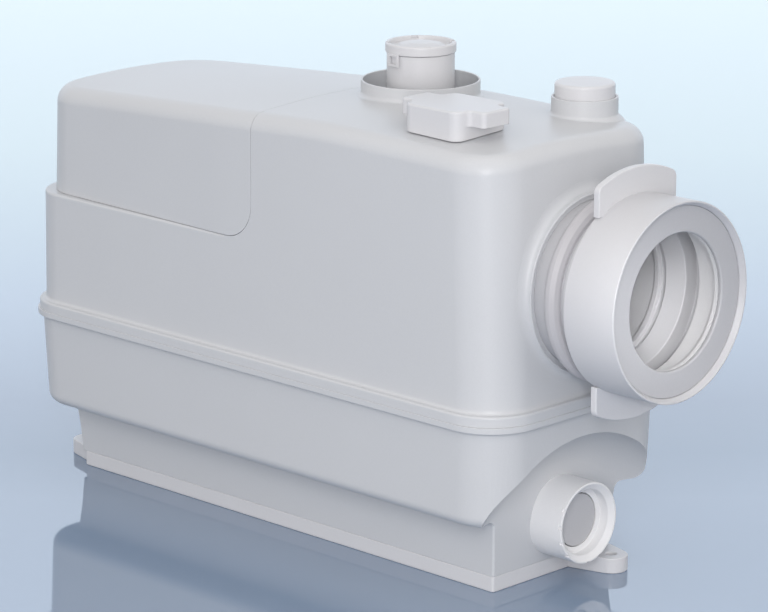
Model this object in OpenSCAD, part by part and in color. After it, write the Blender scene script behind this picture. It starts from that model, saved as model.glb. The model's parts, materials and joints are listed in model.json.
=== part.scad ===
/* [Body] */
// Length over the seam flange
flange_l = 422; // [410:1:440]
// Depth over the seam flange
flange_w = 164.5; // [158:0.5:176]
// How far the seam flange stands out from the walls
flange_proud = 4.6; // [3:0.1:6]
// Plan radius of the upright corners
corner_r = 30; // [26:1:36]
// Wall thickness of the plastic shells
wall = 3; // [2.5:0.1:3.6]
// Height of the seam between tank and hood
seam_z = 109.4; // [106:0.2:112]
// Height of the hood's half of the flange
hood_lip_h = 6.4; // [5:0.2:9]
// Height of the tank's half of the flange
tank_lip_h = 4; // [3:0.5:5]
// How far the tank's half of the flange stands out past the hood's half
lip_step = 0.4; // [0.2:0.1:0.8]

/* [Hood] */
// Height of the crowned top at its highest point
top_z = 271.5; // [266:0.5:278]
// Radius of the edge round the top
top_edge_r = 10; // [8:0.5:14]
// How much the upright walls lean in towards the top
wall_draft = 1.4; // [0.5:0.1:2.5]
// Extra lean of the inlet end towards the top
end_lean = 4.5; // [2:0.5:6]
// Place of the highest point along the length
crown_x = 60; // [40:5:80]
// Fall of the top towards the motor end
crown_left = 14.9; // [8:0.1:18]
// Fall of the top towards the inlet end
crown_right = 3.6; // [2:0.1:6]
// Fall of the top towards the long edges
crown_side = 4.4; // [2:0.1:6]

/* [Motor cover] */
// Height of the ledge that the motor cover stands on
ledge_z = 187.5; // [184:0.5:192]
// Set-back of the cover at the motor end
ledge_depth = 5.5; // [4:0.5:7]
// Lean of the motor end of the cover
cover_lean = 1; // [0:0.5:3]
// Place of the upright seam along the length
seam_x = 5; // [0:1:8]
// Radius of the corner where the seam turns into the ledge
seam_turn_r = 22; // [16:1:26]
// Gap of the upright seam
seam_gap = 0.3; // [0.2:0.05:0.5]

/* [Tank] */
// Height of the tank's underside shelf
shelf_z = 45.6; // [44:0.2:48]
// How much the tank walls lean in towards the shelf
tank_draft = 1.7; // [1:0.1:3]
// How far the tank walls stand out past the hood walls at the seam
tank_proud = 1.1; // [0.5:0.1:2]
// Radius of the tank's lower edge
shelf_edge_r = 7.5; // [5:0.5:9]
// Radius of the hollow fillet between the plinth and the shelf
shelf_fillet_r = 4.5; // [2:0.5:6]
// How much shorter the plinth is than the seam flange, both ends together
plinth_short = 53.6; // [50:0.2:58]
// Place of the plinth's middle along the length
plinth_x = -1.2; // [-2:0.1:0]
// How much narrower the plinth is than the seam flange, both sides together
plinth_narrow = 61.7; // [58:0.2:66]
// Plan radius of the plinth corners
plinth_r = 1.5; // [1:0.1:4]
// How much the plinth flares out towards the shelf
plinth_flare = 2.6; // [1.5:0.1:3.5]
// Radius of the arch recess in the inlet end
arch_r = 95; // [90:1:98]
// Height of the arch's centre
arch_z = -4; // [-8:1:-2]

/* [Base plate] */
// How much shorter the base plate is than the plinth's foot
base_short = 2.8; // [0:0.2:5]
// Height of the base plate
base_h = 9.65; // [9:0.05:12]
// Thickness of the base plate's floor and ribs
base_t = 3; // [2.5:0.1:3.5]
// Radius of the fixing ears
ear_r = 10; // [9:0.5:12]
// Diameter of the hole in each ear
ear_hole_d = 6.5; // [6:0.5:9]
// How far the ear's hole stands off the end of the plate
ear_reach = 20.4; // [18:0.2:24]
// Distance of the ear's hole from the middle line
ear_y = 31; // [30:0.5:33]

/* [Toilet inlet] */
// Height of the toilet inlet's axis
inlet_z = 183; // [181:0.5:186]
// Distance of the toilet inlet's axis from the middle line
inlet_y = 5; // [2:0.5:8]
// Outer radius of the fixed socket ring
socket_r = 54; // [53:0.5:56]
// How far the socket ring stands out of the wall
socket_out = 4.5; // [4:0.5:6]
// Outer radius of the sliding neck
neck_r = 50; // [49:0.1:50.5]
// Outer radius of the drum
drum_r = 59.3; // [58:0.1:61]
// Length of the drum
drum_l = 38; // [34:1:42]
// Wall of the sleeve
sleeve_wall = 3; // [2.5:0.1:3.4]
// Travel of the sleeve
sleeve_travel = 30; // [20:1:32]
// Gap between the socket ring's face and the drum's back
sleeve_stand = 29; // [27:0.2:33]
// Radius of the hole in the lip seal
lip_hole_r = 40.5; // [38:0.5:43]
// Radius of the outer edge of the grip lugs
lug_r = 75; // [70:1:78]
// Width of a grip lug
lug_w = 68; // [60:1:74]
// Thickness of a grip lug
lug_t = 4.5; // [4:0.5:6]

/* [Low inlet] */
// Height of the low inlet's axis
low_z = 36.8; // [36.4:0.1:37.2]
// Distance of the low inlet's axis from the middle line
low_y = 3; // [0:0.5:4]
// Outer radius of the low socket
low_r = 24.8; // [24:0.1:24.8]
// How far the low socket stands out of the plinth end
low_reach = 23.9; // [20:0.2:26]
// Radius of the low inlet's bore, for a 40 mm waste pipe
low_bore_r = 20.2; // [19.8:0.1:20.4]

/* [Discharge] */
// Place of the discharge tube along the length
out_x = 50; // [46:1:54]
// Place of the discharge tube across the depth
out_y = 24; // [23:0.5:25]
// Outer radius of the collar
collar_r = 36.5; // [35:0.1:38]
// Wall of the collar
collar_wall = 1.3; // [1:0.1:2]
// How far the collar's rim stands above the top's highest point
collar_rise = 8.5; // [6:0.5:11]
// Depth of the well below the top's highest point
well_depth = 13.5; // [11:0.5:16]
// Outer radius of the discharge tube
tube_r = 20.75; // [20.5:0.05:21]
// Wall of the discharge tube
tube_wall = 2.45; // [2:0.05:2.8]
// Height of the cap's underside above the top's highest point
cap_rise = 25.5; // [22:0.5:30]
// Height of the blanking cap's rim
cap_h = 6; // [5:0.5:8]
// Outer radius of the blanking cap
cap_r = 21.7; // [21.5:0.1:22.5]

/* [Top inlet] */
// Place of the top inlet stub along the length
stub_x = 156.3; // [150:0.1:160]
// Distance of the stub's axis inside the rear wall
stub_inset = 23.15; // [21:0.05:26]
// Outer radius of the top inlet stub
stub_r = 20.1; // [19.5:0.1:20.5]
// Wall of the top inlet stub
stub_wall = 1.6; // [1.4:0.1:2]
// How far the stub stands above the top's highest point
stub_rise = 8.5; // [7:0.5:12]
// How far the blanking plug stands above the stub
plug_rise = 8.5; // [6:0.5:12]

/* [Vent] */
// Place of the vent along the length
vent_x = 136; // [130:1:140]
// Distance of the vent's middle inside the front wall
vent_inset = 41.65; // [40:0.05:44]
// Length of the vent cap's block
vent_l = 44; // [40:1:48]
// Depth of the vent cap's block
vent_w = 44; // [40:1:46]
// Height of the vent cap above the top's highest point
vent_rise = 14.5; // [12:0.5:18]
// How far each grip wing stands out of the block
wing_out = 11.5; // [8:0.5:13]
// Height of the grip wings
wing_h = 9.5; // [7:0.5:11]
// Depth of the grip wings
wing_w = 23; // [18:1:28]
// Radius of the vent hole
vent_hole_r = 15; // [13:0.5:16]

/* [Pump and motor] */
// Distance of the pump and motor axis from the middle of the tub
motor_shift = 5; // [2:0.5:6]
// Radius of the impeller
impeller_r = 32; // [30:0.5:33]
// Number of impeller vanes
vanes = 6; // [4:1:8]
// Number of cutter blades
blades = 3; // [2:1:4]
// Radius of the cutter
cutter_r = 33; // [30:0.5:34]
// Radius of the lower shaft
shaft_r = 5; // [4.8:0.1:5.5]
// Radius of the shaft in its bearings
journal_r = 6; // [5.8:0.1:6.5]
// Height of the stator pack
stack_h = 70; // [60:1:75]
// Number of cooling ribs on the motor housing
motor_ribs = 16; // [8:1:24]

/* [Hidden] */
$fn = 72;

// Fits
slip = 0.3;
catch_h = 0.2;
snug = 0.1;
running = 0.05;
cut = 1;
far = 400;

// Half sizes of the walls at the seam
half_l = flange_l / 2 - flange_proud;
half_w = flange_w / 2 - flange_proud;
plinth_l = flange_l - plinth_short;
plinth_w = flange_w - plinth_narrow;
base_l = plinth_l - base_short;
stub_y = half_w - stub_inset;
vent_y = vent_inset - half_w;
sump_z = base_h + wall;

// Gasket groove
groove_out = 1;
groove_w = 3;
groove_depth = 2.5;

// Steps round the plan outline
arc_n = 8;
long_n = 12;
short_n = 4;

// Motor cover
ledge_x = seam_x - seam_turn_r - 5;

// Motor tub and its opening, fitted between the walls and the upright seam
tub_wall = 2.5;
tub_r = 18;
tub_rim = 10;
tub_rim_y = 11;
tub_rim_t = 3;
tub_screw_in = 26;
gasket_t = 1;
tub_end_room = 7.4;
tub_side_room = 7.65;
tub_seam_room = 9;
tub_left = -(half_l - wall - tub_end_room);
tub_right = seam_x - tub_seam_room;
tub_l = tub_right - tub_left - 2 * tub_rim;
tub_w = 2 * (half_w - wall - tub_side_room - tub_rim_y);
tub_x = (tub_left + tub_right) / 2;
motor_x = tub_x + motor_shift;

// Screws
screw_r = 2;
screw_head_r = 3.8;
base_screw_in_x = 32;
base_screw_in_y = 13;
boss_r = 4.5;

// Pump stack, from the sump floor upwards
nut_z = sump_z + 4;
nut_h = 5;
cutter_z = nut_z + nut_h;
cutter_h = 5.5;
shear_z = cutter_z + cutter_h + 0.4;
shear_t = 4;
casing_z = shear_z + shear_t;
casing_h = 27.5;
casing_t = 3.5;
casing_wall = 3;
volute_r0 = impeller_r + 2.5;
volute_r1 = volute_r0 + 8;
casing_top = casing_z + casing_h;
cover_t = 8;
tub_z = casing_top + cover_t;
tub_floor = tub_z + tub_wall;
lug_reach = 54;
lug_boss_r = 5.5;
lug_h = 3.5;
seal_r = 11;
seal_h = 6;

// Pump outlet and hose
spigot_r = 12.9;
spigot_bore_r = 10;
spigot_z = casing_z + casing_h / 2;
spigot_end = motor_x + 58;
hose_wall = 3;
hose_r = spigot_r + snug;
hose_bend = 30;

// Non-return valve
valve_z = 78;
hose_top = valve_z + 14;
seat_z = valve_z + 22;
valve_r = 25;
chamber_r = 20;
chamber_h = 38;
tube_z = seat_z + chamber_h;
valve_top = tube_z + 12;
valve_hole_r = 10.5;
flap_r = 13;
flap_t = 2.2;
knuckle_r = 2;
hinge_pin_r = 1.2;
hinge_half = 4.5;
ear_w = 2.2;
valve_pin_x = out_x - 15.5;
valve_pin_z = seat_z + slip + knuckle_r;

// Motor stack, from the tub floor upwards
bearing_r = 16;
bearing_h = 10;
base_disc_t = 3;
base_rim_h = 10;
pocket_h = bearing_h + 1;
housing_wall = 3;
housing_z = tub_floor + base_rim_h;
coil_h = 12;
stack_z = housing_z + 23.5;
housing_h = stack_h + coil_h * 2 + 26.5;
housing_top = housing_z + housing_h;
cap_disc_t = 3.5;
motor_room = 5.5;
motor_r = tub_w / 2 - tub_wall - motor_room;
rotor_r = motor_r - 21;
rib_h = 2;
air_gap = 0.5;
shaft_step_z = tub_z - cut;
upper_bearing_z = housing_top + cap_disc_t;
shaft_top = upper_bearing_z + bearing_h - 0.5;

// Toilet inlet, along the length
inlet_wall_x = half_l - (wall_draft + end_lean) * (inlet_z - seam_z) / (top_z - top_edge_r - seam_z);
pad_x = inlet_wall_x - wall - 6;
socket_end_x = inlet_wall_x + socket_out;
drum_x = socket_end_x + sleeve_stand;
drum_end_x = drum_x + drum_l;
neck_x = pad_x - sleeve_travel - 1;
seal_x = inlet_wall_x - 0.5;
seal_w = 4;
lug_x = drum_x;
bead_w = 10.2;
bead_back = bead_w + 9.4;

// Low inlet, along the length
arch_x = plinth_x + plinth_l / 2 + plinth_flare;
low_rim_t = 2.3;
low_mouth_x = arch_x + low_reach;
low_tube_x = low_mouth_x - low_rim_t;
low_insert_r = low_bore_r + 2;
low_seat_t = 3;
low_seat_x = low_mouth_x - 9 - low_seat_t;
low_seat_r = 16.6;
low_chamber_r = low_bore_r + 0.5;
low_inner_x = low_seat_x - 21;
low_flap_r = 18.2;
low_pin_x = low_seat_x - slip - knuckle_r;
low_pin_z = low_z + 17.8;

// Top fittings
collar_z = top_z + collar_rise;
well_z = top_z - well_depth;
cap_z = top_z + cap_rise;
stub_z = top_z + stub_rise;
stub_seat_z = top_z - 3.5;
stub_foot_z = top_z - 2;
plug_z = stub_z + plug_rise;
vent_top = top_z + vent_rise;

// Cable gland on the rear of the motor cover
gland_x = motor_x - 55;
gland_z = ledge_z + 26;
gland_y = half_w - 2.6;
gland_r = 6.9;
cord_r = 3.6;

// Control board at the inlet side of the tub
board_x = tub_x + tub_l / 2 - tub_wall - 4;
board_z = tub_floor + 34;
board_h = 70;
board_w = 44;
board_t = 1.6;
board_y = -12;

// Capacitor between the motor and the far end of the tub
capacitor_room = 3.25;
capacitor_h = 80;
capacitor_lid = 2;
tub_end = tub_x - tub_l / 2 + tub_wall;
motor_side = motor_x - motor_r - rib_h;
capacitor_r = (motor_side - tub_end) / 2 - capacitor_room;
capacitor_x = (motor_side + tub_end) / 2 - 1.25;

// Level control
can_r = 13;
can_room = 1.5;
bell_x = tub_x + tub_l / 2 - tub_wall - can_r - can_room;
bell_y = -30;
bell_r = 8;
nipple_r = 3.5;
can_z = tub_floor + 6;
can_h = 14;
plunger_travel = 1.5;

// Points round one quarter corner
function corner(cx, cy, r, a0) =
    [for (i = [0:arc_n]) let (a = a0 + 90 * i / arc_n) [cx + r * cos(a), cy + r * sin(a)]];

// Points between two corners, ends left out
function between(a, b, n) = [for (i = [1:n - 1]) a + (b - a) * i / n];

// Outline of a rectangle with rounded corners, anticlockwise
function outline(hx, hy, r) = let (x = hx - r, y = hy - r) concat(
    corner(x, -y, r, -90), between([hx, -y], [hx, y], short_n),
    corner(x, y, r, 0), between([x, hy], [-x, hy], long_n),
    corner(-x, y, r, 90), between([-hx, y], [-hx, -y], short_n),
    corner(-x, -y, r, 180), between([-x, -hy], [x, -hy], long_n));

// Fall of the crowned top below its highest point
function crown_fall(x, y) = crown_side * pow(y / half_w, 2) + (x < crown_x
    ? crown_left * pow((crown_x - x) / (half_l + crown_x), 1.2)
    : crown_right * pow((x - crown_x) / (half_l - crown_x), 2));

// Set-back of the motor cover, growing from the end of the ledge to the motor end
function set_back(p, d) = let (s = max(0, (ledge_x - p[0]) / (ledge_x + half_l)))
    [p[0] + d * s, p[1] * (1 - d * s / half_w)];

// Slope of the crowned top at the vent, along the length and across it
vent_slope_x = atan((crown_fall(vent_x + vent_l / 2, vent_y) - crown_fall(vent_x - vent_l / 2, vent_y)) / vent_l);
vent_slope_y = atan((crown_fall(vent_x, vent_y + vent_w / 2) - crown_fall(vent_x, vent_y - vent_w / 2)) / vent_w);
vent_z = top_z - crown_fall(vent_x, vent_y) + slip;

function level(ring, z) = [for (p = ring) [p[0], p[1], z]];
function crowned(ring, drop) = [for (p = ring) [p[0], p[1], top_z - drop - crown_fall(p[0], p[1])]];
function shrunk(ring, s) = [for (p = ring) p * s];
function slid(ring, d) = [for (p = ring) [p[0] + d, p[1]]];
function moved(ring, d) = [for (p = ring) set_back(p, d)];
function moved_up(ring, d) = [for (p = ring) let (q = set_back(p, d)) [q[0], q[1], p[2]]];
function slice(a, b, z) = [for (j = [0:len(a) - 1]) a[j] + (b[j] - a[j]) * (z - a[j][2]) / (b[j][2] - a[j][2])];
function middle(ring) = [for (a = [0:2]) [for (p = ring) p[a]] * [for (p = ring) 1] / len(ring)];

// Rings of the upper shell, inset by off, with the cover's set-back at ledge and top
function upper_rings(off, z0, steps, back_low, back_top) = let (
    hx = half_l - off, hy = half_w - off, r = corner_r - off,
    c = -end_lean / 2, tx = hx - wall_draft + c, ty = hy - wall_draft, e = top_edge_r - off / 2,
    foot = level(outline(hx, hy, r), z0), brow = crowned(slid(outline(tx, ty, r), c), e + off)) concat(
    [moved_up(foot, back_low)],
    [moved_up(slice(foot, brow, ledge_z - cut), back_low)],
    [for (i = [0:steps]) let (a = 90 * i / steps, q = e * (1 - cos(a)))
        crowned(moved(slid(outline(tx - q, ty - q, r - q), c), back_top), e * (1 - sin(a)) + off)],
    [for (s = [0.8, 0.5, 0.2])
        crowned(shrunk(moved(slid(outline(tx - e, ty - e, r - e), c), back_top), s), off)]);

// Rings of the tank, from the plinth's foot to the seam
function tank_rings(off, z0, z1, steps) = let (
    px = plinth_l / 2 - off, py = plinth_w / 2 - off, pr = max(plinth_r - off, cut),
    sx = half_l + tank_proud - off, sy = half_w + tank_proud - off, r = corner_r - tank_proud - off,
    lx = sx - tank_draft, ly = sy - tank_draft, e = shelf_edge_r) concat(
    [level(slid(outline(px, py, pr), plinth_x), z0)],
    [for (i = [0:2]) let (a = 45 * i, q = plinth_flare + shelf_fillet_r * (1 - cos(a)))
        level(slid(outline(px + q, py + q, pr + q - plinth_flare), plinth_x),
            shelf_z + off - shelf_fillet_r * (1 - sin(a)))],
    [for (i = [0:steps]) let (a = 90 * i / steps, q = e * (1 - sin(a)))
        level(outline(lx - q, ly - q, r - q), shelf_z + off + e * (1 - cos(a)))],
    [level(outline(sx, sy, r), z1)]);

// Solid skin through rings of equal point counts, closed by a fan at both ends
module loft(rings) {
    n = len(rings[0]);
    k = len(rings);
    side = [for (i = [0:k - 2]) for (j = [0:n - 1]) each [
        [i * n + j, (i + 1) * n + j, (i + 1) * n + (j + 1) % n],
        [i * n + j, (i + 1) * n + (j + 1) % n, i * n + (j + 1) % n]]];
    bottom = [for (j = [0:n - 1]) [j, (j + 1) % n, k * n]];
    top = [for (j = [0:n - 1]) [(k - 1) * n + j, k * n + 1, (k - 1) * n + (j + 1) % n]];
    polyhedron(points = concat([for (r = rings) each r], [middle(rings[0]), middle(rings[k - 1])]),
        faces = concat(side, bottom, top), convexity = 8);
}

// Rectangle with true round corners
module round_rect(l, w, r) {
    square([l - 2 * r, w], center = true);
    square([l, w - 2 * r], center = true);
    for (x = [-1, 1], y = [-1, 1]) translate([x * (l / 2 - r), y * (w / 2 - r)]) circle(r);
}

module slab(l, w, r, z0, z1) {
    translate([0, 0, z0]) linear_extrude(z1 - z0) round_rect(l, w, r);
}

module rod(r, z0, z1) {
    translate([0, 0, z0]) cylinder(r = r, h = z1 - z0);
}

module pipe(r, bore, z0, z1) {
    difference() {
        rod(r, z0, z1);
        rod(bore, z0 - cut, z1 + cut);
    }
}

// Turns a shape built along Z so that it runs along X at depth y and height z
module along_x(y, z) {
    translate([0, y, z]) rotate([0, 90, 0]) children();
}

module at_motor() {
    translate([motor_x, 0, 0]) children();
}

module at_outlet() {
    translate([out_x, out_y, 0]) children();
}

// Revolved profile of [radius, distance] points
module turned(points) {
    rotate_extrude() polygon(points);
}

// Places of the screws that hold the base plate
module base_screw_places() {
    for (x = [-1, 1], y = [-1, 1])
        translate([x * (base_l / 2 - base_screw_in_x), y * (plinth_w / 2 - base_screw_in_y), 0]) children();
}

// Places of the screws that hold the motor tub
module tub_screw_places() {
    for (x = [-1, 1] * (tub_l / 2 - tub_screw_in), y = [-1, 1])
        translate([tub_x + x, y * (tub_w / 2 + tub_rim_y / 2), 0]) children();
    for (x = [-1, 1]) translate([tub_x + x * (tub_l / 2 + tub_rim / 2), 0, 0]) children();
}

// Places of the screws that hang the pump under the tub
module casing_lug_places() {
    at_motor() for (a = [45:90:315]) rotate([0, 0, a]) translate([lug_reach, 0, 0]) children();
}

// Region of the motor cover, seen from the long side, drawn back by gap at the upright seam
module cover_zone(gap) {
    cx = seam_x - seam_turn_r;
    rotate([90, 0, 0]) translate([0, 0, -far / 2]) linear_extrude(far) {
        translate([cx - far, ledge_z]) square([far, far]);
        translate([cx - cut, ledge_z + seam_turn_r]) square([seam_turn_r - gap + cut, far]);
        translate([cx, ledge_z + seam_turn_r]) circle(seam_turn_r - gap);
    }
}

// Arch recess with a coved soffit, grown by off
module arch(off) {
    cove = half_l + tank_proud - arch_x;
    along_x(0, arch_z) rotate_extrude() {
        translate([0, arch_x - off]) square([arch_r - cove, far]);
        translate([0, arch_x + cove]) square([arch_r + off, far]);
        translate([arch_r - cove, arch_x + cove]) circle(cove + off);
    }
}

module base_plate() {
    l = base_l;
    w = plinth_w;
    color("gainsboro")
    difference() {
        union() {
            difference() {
                slab(l, w, plinth_r, 0, base_h);
                slab(l - 2 * base_t, w - 2 * base_t, plinth_r, base_t, base_h + cut);
            }
            for (x = [-0.375, -0.125, 0.125, 0.375])
                translate([x * l - base_t / 2, -w / 2 + base_t / 2, cut]) cube([base_t, w - base_t, base_h - cut]);
            for (y = [-0.17, 0.17])
                translate([-l / 2 + base_t / 2, y * w - base_t / 2, cut]) cube([l - base_t, base_t, base_h - cut]);
            base_screw_places() rod(screw_head_r + 2, cut, base_h);
            for (a = [0, 180]) rotate([0, 0, a]) translate([l / 2, ear_y, 0]) {
                translate([ear_reach, 0, 0]) cylinder(r = ear_r, h = base_h);
                linear_extrude(base_h) polygon([[-base_t, ear_r + 6], [0, ear_r + 6],
                    [ear_reach + 2.6, ear_r - 0.4], [ear_reach + 2.6, -ear_r + 0.4],
                    [0, -ear_r - 6], [-base_t, -ear_r - 6]]);
            }
        }
        for (a = [0, 180]) rotate([0, 0, a])
            translate([l / 2 + ear_reach, ear_y, -cut]) cylinder(d = ear_hole_d, h = base_h + 2 * cut);
        base_screw_places() {
            rod(screw_r, -cut, base_h + cut);
            rod(screw_head_r + slip, -cut, base_t + 0.5);
        }
    }
}

module base_screws() {
    color("silver") base_screw_places() {
        rod(screw_head_r, base_t - 2, base_t + 0.5);
        rod(screw_r - snug, base_t, sump_z + 6);
    }
}

module tank() {
    color("gainsboro")
    difference() {
        union() {
            difference() {
                loft(tank_rings(0, base_h, seam_z, 4));
                arch(0);
            }
            slab(flange_l, flange_w, corner_r + flange_proud, seam_z - tank_lip_h, seam_z);
            along_x(low_y, low_z) rod(low_r, arch_x - plinth_flare - cut, low_tube_x);
        }
        difference() {
            loft(tank_rings(wall, sump_z, seam_z + cut, 2));
            arch(wall);
            base_screw_places() rod(boss_r, base_h, sump_z + 9);
        }
        base_screw_places() rod(screw_r - snug, base_h - cut, sump_z + 6.5);
        along_x(low_y, low_z) rod(low_insert_r + snug, low_inner_x, low_tube_x + cut);
        gasket_groove(0);
    }
}

// Groove for the gasket in the tank's upper face, narrower by gap
module gasket_groove(gap) {
    hx = half_l + groove_out;
    hy = half_w + groove_out;
    r = corner_r - 2 * tank_proud + groove_out;
    g = groove_w / 2 - gap;
    difference() {
        slab(2 * (hx + g), 2 * (hy + g), r + g, seam_z - groove_depth, seam_z + cut);
        slab(2 * (hx - g), 2 * (hy - g), r - g, seam_z - groove_depth - cut, seam_z + 2 * cut);
    }
}

module body_gasket() {
    color("dimgray") intersection() {
        gasket_groove(snug);
        slab(flange_l, flange_w, corner_r, seam_z - groove_depth, seam_z);
    }
}

module hood() {
    color("gainsboro")
    difference() {
        union() {
            loft(upper_rings(0, seam_z, 6, 0, 0));
            slab(flange_l - 2 * lip_step, flange_w - 2 * lip_step, corner_r + flange_proud - lip_step,
                seam_z, seam_z + hood_lip_h);
            at_outlet() rod(collar_r, well_z, collar_z);
            translate([stub_x, stub_y, 0]) turned([[0, stub_seat_z - wall], [stub_r + 4.5, stub_seat_z - wall],
                [stub_r, stub_foot_z], [stub_r, stub_z], [0, stub_z]]);
        }
        difference() {
            loft(upper_rings(wall, seam_z - cut, 3, 0, 0));
            translate([seam_x + seam_gap, -far / 2, ledge_z - wall]) cube([wall, far, far]);
            translate([seam_x + seam_gap + cut - far, -far / 2, ledge_z - wall]) cube([far, far, wall]);
            at_outlet() rod(collar_r + 1.7, well_z - wall, top_z + cut);
            translate([vent_x, vent_y, 0]) rod(vent_hole_r + wall, top_z - 12, top_z + cut);
            along_x(inlet_y, inlet_z) rod(socket_r + 5, pad_x, far);
            tub_screw_places() rod(boss_r, ledge_z - 12, ledge_z);
        }
        cover_zone(0);
        translate([tub_x, 0, 0]) slab(tub_l + 2 * slip, tub_w + 2 * slip, tub_r, ledge_z - wall - cut, ledge_z + cut);
        tub_screw_places() rod(screw_r - snug, ledge_z - 9, ledge_z + cut);
        at_outlet() {
            rod(collar_r - collar_wall, well_z, far);
            rod(tube_r + 1.75, well_z - wall - cut, well_z + cut);
        }
        translate([stub_x, stub_y, 0]) {
            rod(stub_r - stub_wall, stub_seat_z, stub_z + cut);
            rod(stub_r - stub_wall - 2.5, stub_seat_z - wall - cut, stub_seat_z + cut);
        }
        translate([vent_x, vent_y, 0]) rod(vent_hole_r + slip, top_z - 13, far);
        along_x(inlet_y, inlet_z) rod(socket_r + snug, pad_x - cut, far);
    }
}

module motor_cover() {
    color("gainsboro")
    difference() {
        union() {
            intersection() {
                difference() {
                    loft(upper_rings(0, seam_z, 6, ledge_depth, ledge_depth + cover_lean));
                    loft(upper_rings(wall, seam_z - cut, 3, ledge_depth, ledge_depth + cover_lean));
                }
                cover_zone(seam_gap);
            }
            translate([gland_x, 0, gland_z]) rotate([-90, 0, 0]) rod(11, gland_y - 10, gland_y);
        }
        translate([gland_x, 0, gland_z]) rotate([-90, 0, 0]) rod(gland_r + snug, gland_y - 11, gland_y + cut);
    }
}

module cable_gland() {
    color("dimgray") translate([gland_x, 0, gland_z]) rotate([-90, 0, 0]) difference() {
        union() {
            rod(9, gland_y, gland_y + 3);
            rod(8, gland_y + 3, gland_y + 7);
            rod(gland_r, gland_y - 18, gland_y);
        }
        rod(cord_r, gland_y - 19, gland_y + 8);
    }
}

module gland_nut() {
    color("dimgray") translate([gland_x, 0, gland_z]) rotate([-90, 0, 0]) difference() {
        translate([0, 0, gland_y - 15]) cylinder(r = 10, h = 5, $fn = 6);
        rod(gland_r + snug, gland_y - 16, gland_y - 9);
    }
}

module tub_gasket() {
    color("dimgray") difference() {
        translate([tub_x, 0, 0])
            slab(tub_l + 2 * tub_rim, tub_w + 2 * tub_rim_y, tub_r + tub_rim, ledge_z, ledge_z + gasket_t);
        translate([tub_x, 0, 0])
            slab(tub_l + 2 * slip, tub_w + 2 * slip, tub_r, ledge_z - cut, ledge_z + gasket_t + cut);
        tub_screw_places() rod(screw_r + snug, ledge_z - cut, ledge_z + gasket_t + cut);
    }
}

module motor_tub() {
    rim_z = ledge_z + gasket_t;
    color("gainsboro")
    difference() {
        union() {
            translate([tub_x, 0, 0]) {
                slab(tub_l, tub_w, tub_r, tub_z, rim_z + cut);
                slab(tub_l + 2 * tub_rim, tub_w + 2 * tub_rim_y, tub_r + tub_rim, rim_z, rim_z + tub_rim_t);
            }
        }
        difference() {
            translate([tub_x, 0, 0])
                slab(tub_l - 2 * tub_wall, tub_w - 2 * tub_wall, tub_r - tub_wall, tub_floor, far);
            casing_lug_places() rod(boss_r, tub_z, tub_floor + 6);
            translate([bell_x, bell_y, 0]) rod(nipple_r + 3, tub_z, can_z);
            for (y = [-5, 25]) translate([board_x, y, 0]) rotate([0, 90, 0]) {
                translate([-board_z - 8, 0, 0]) cylinder(r = 3, h = 20);
                translate([-board_z - board_h + 8, 0, 0]) cylinder(r = 3, h = 20);
            }
        }
        at_motor() rod(seal_r + 1, tub_z - cut, tub_floor + cut);
        casing_lug_places() rod(screw_r - snug, tub_z - cut, tub_floor + 4);
        translate([bell_x, bell_y, 0]) rod(nipple_r + snug, tub_z - cut, can_z + cut);
        tub_screw_places() rod(screw_r + snug, rim_z - cut, rim_z + tub_rim_t + cut);
    }
}

module tub_screws() {
    z = ledge_z + gasket_t + tub_rim_t;
    color("silver") tub_screw_places() {
        rod(screw_head_r - 0.3, z, z + 2.4);
        rod(screw_r - snug, ledge_z - 8, z);
    }
}

module socket_ring() {
    bore = neck_r + 0.4;
    color("whitesmoke") along_x(inlet_y, inlet_z) difference() {
        turned([[bore, pad_x - 20], [socket_r, pad_x - 20], [socket_r, pad_x - 3], [socket_r + 4, pad_x - 3],
            [socket_r + 4, pad_x], [socket_r, pad_x], [socket_r, socket_end_x - 0.6],
            [socket_r - 0.6, socket_end_x], [socket_r - 1.4, socket_end_x], [bore, socket_end_x - 3]]);
        rod(bore + 2.4, seal_x, seal_x + seal_w);
    }
}

module socket_seal() {
    color("dimgray") along_x(inlet_y, inlet_z)
        pipe(neck_r + 0.4 + 2.4 - snug, neck_r + slip, seal_x + snug, seal_x + seal_w - snug);
}

// Grip lug with round outer corners, drawn in the plane across the sleeve
module lug_shape() {
    r = 5;
    a = asin((lug_w / 2 - r) / (lug_r - r));
    difference() {
        union() {
            intersection() {
                circle(lug_r);
                translate([-(lug_r * sin(a)), 0]) square([2 * lug_r * sin(a), lug_r]);
            }
            translate([-lug_w / 2, 0]) square([lug_w, (lug_r - r) * cos(a)]);
            for (s = [-1, 1]) translate([s * (lug_r - r) * sin(a), (lug_r - r) * cos(a)]) circle(r);
        }
        circle(drum_r - cut);
        translate([-lug_r, -far]) square([2 * lug_r, far + drum_r / 2]);
    }
}

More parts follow.
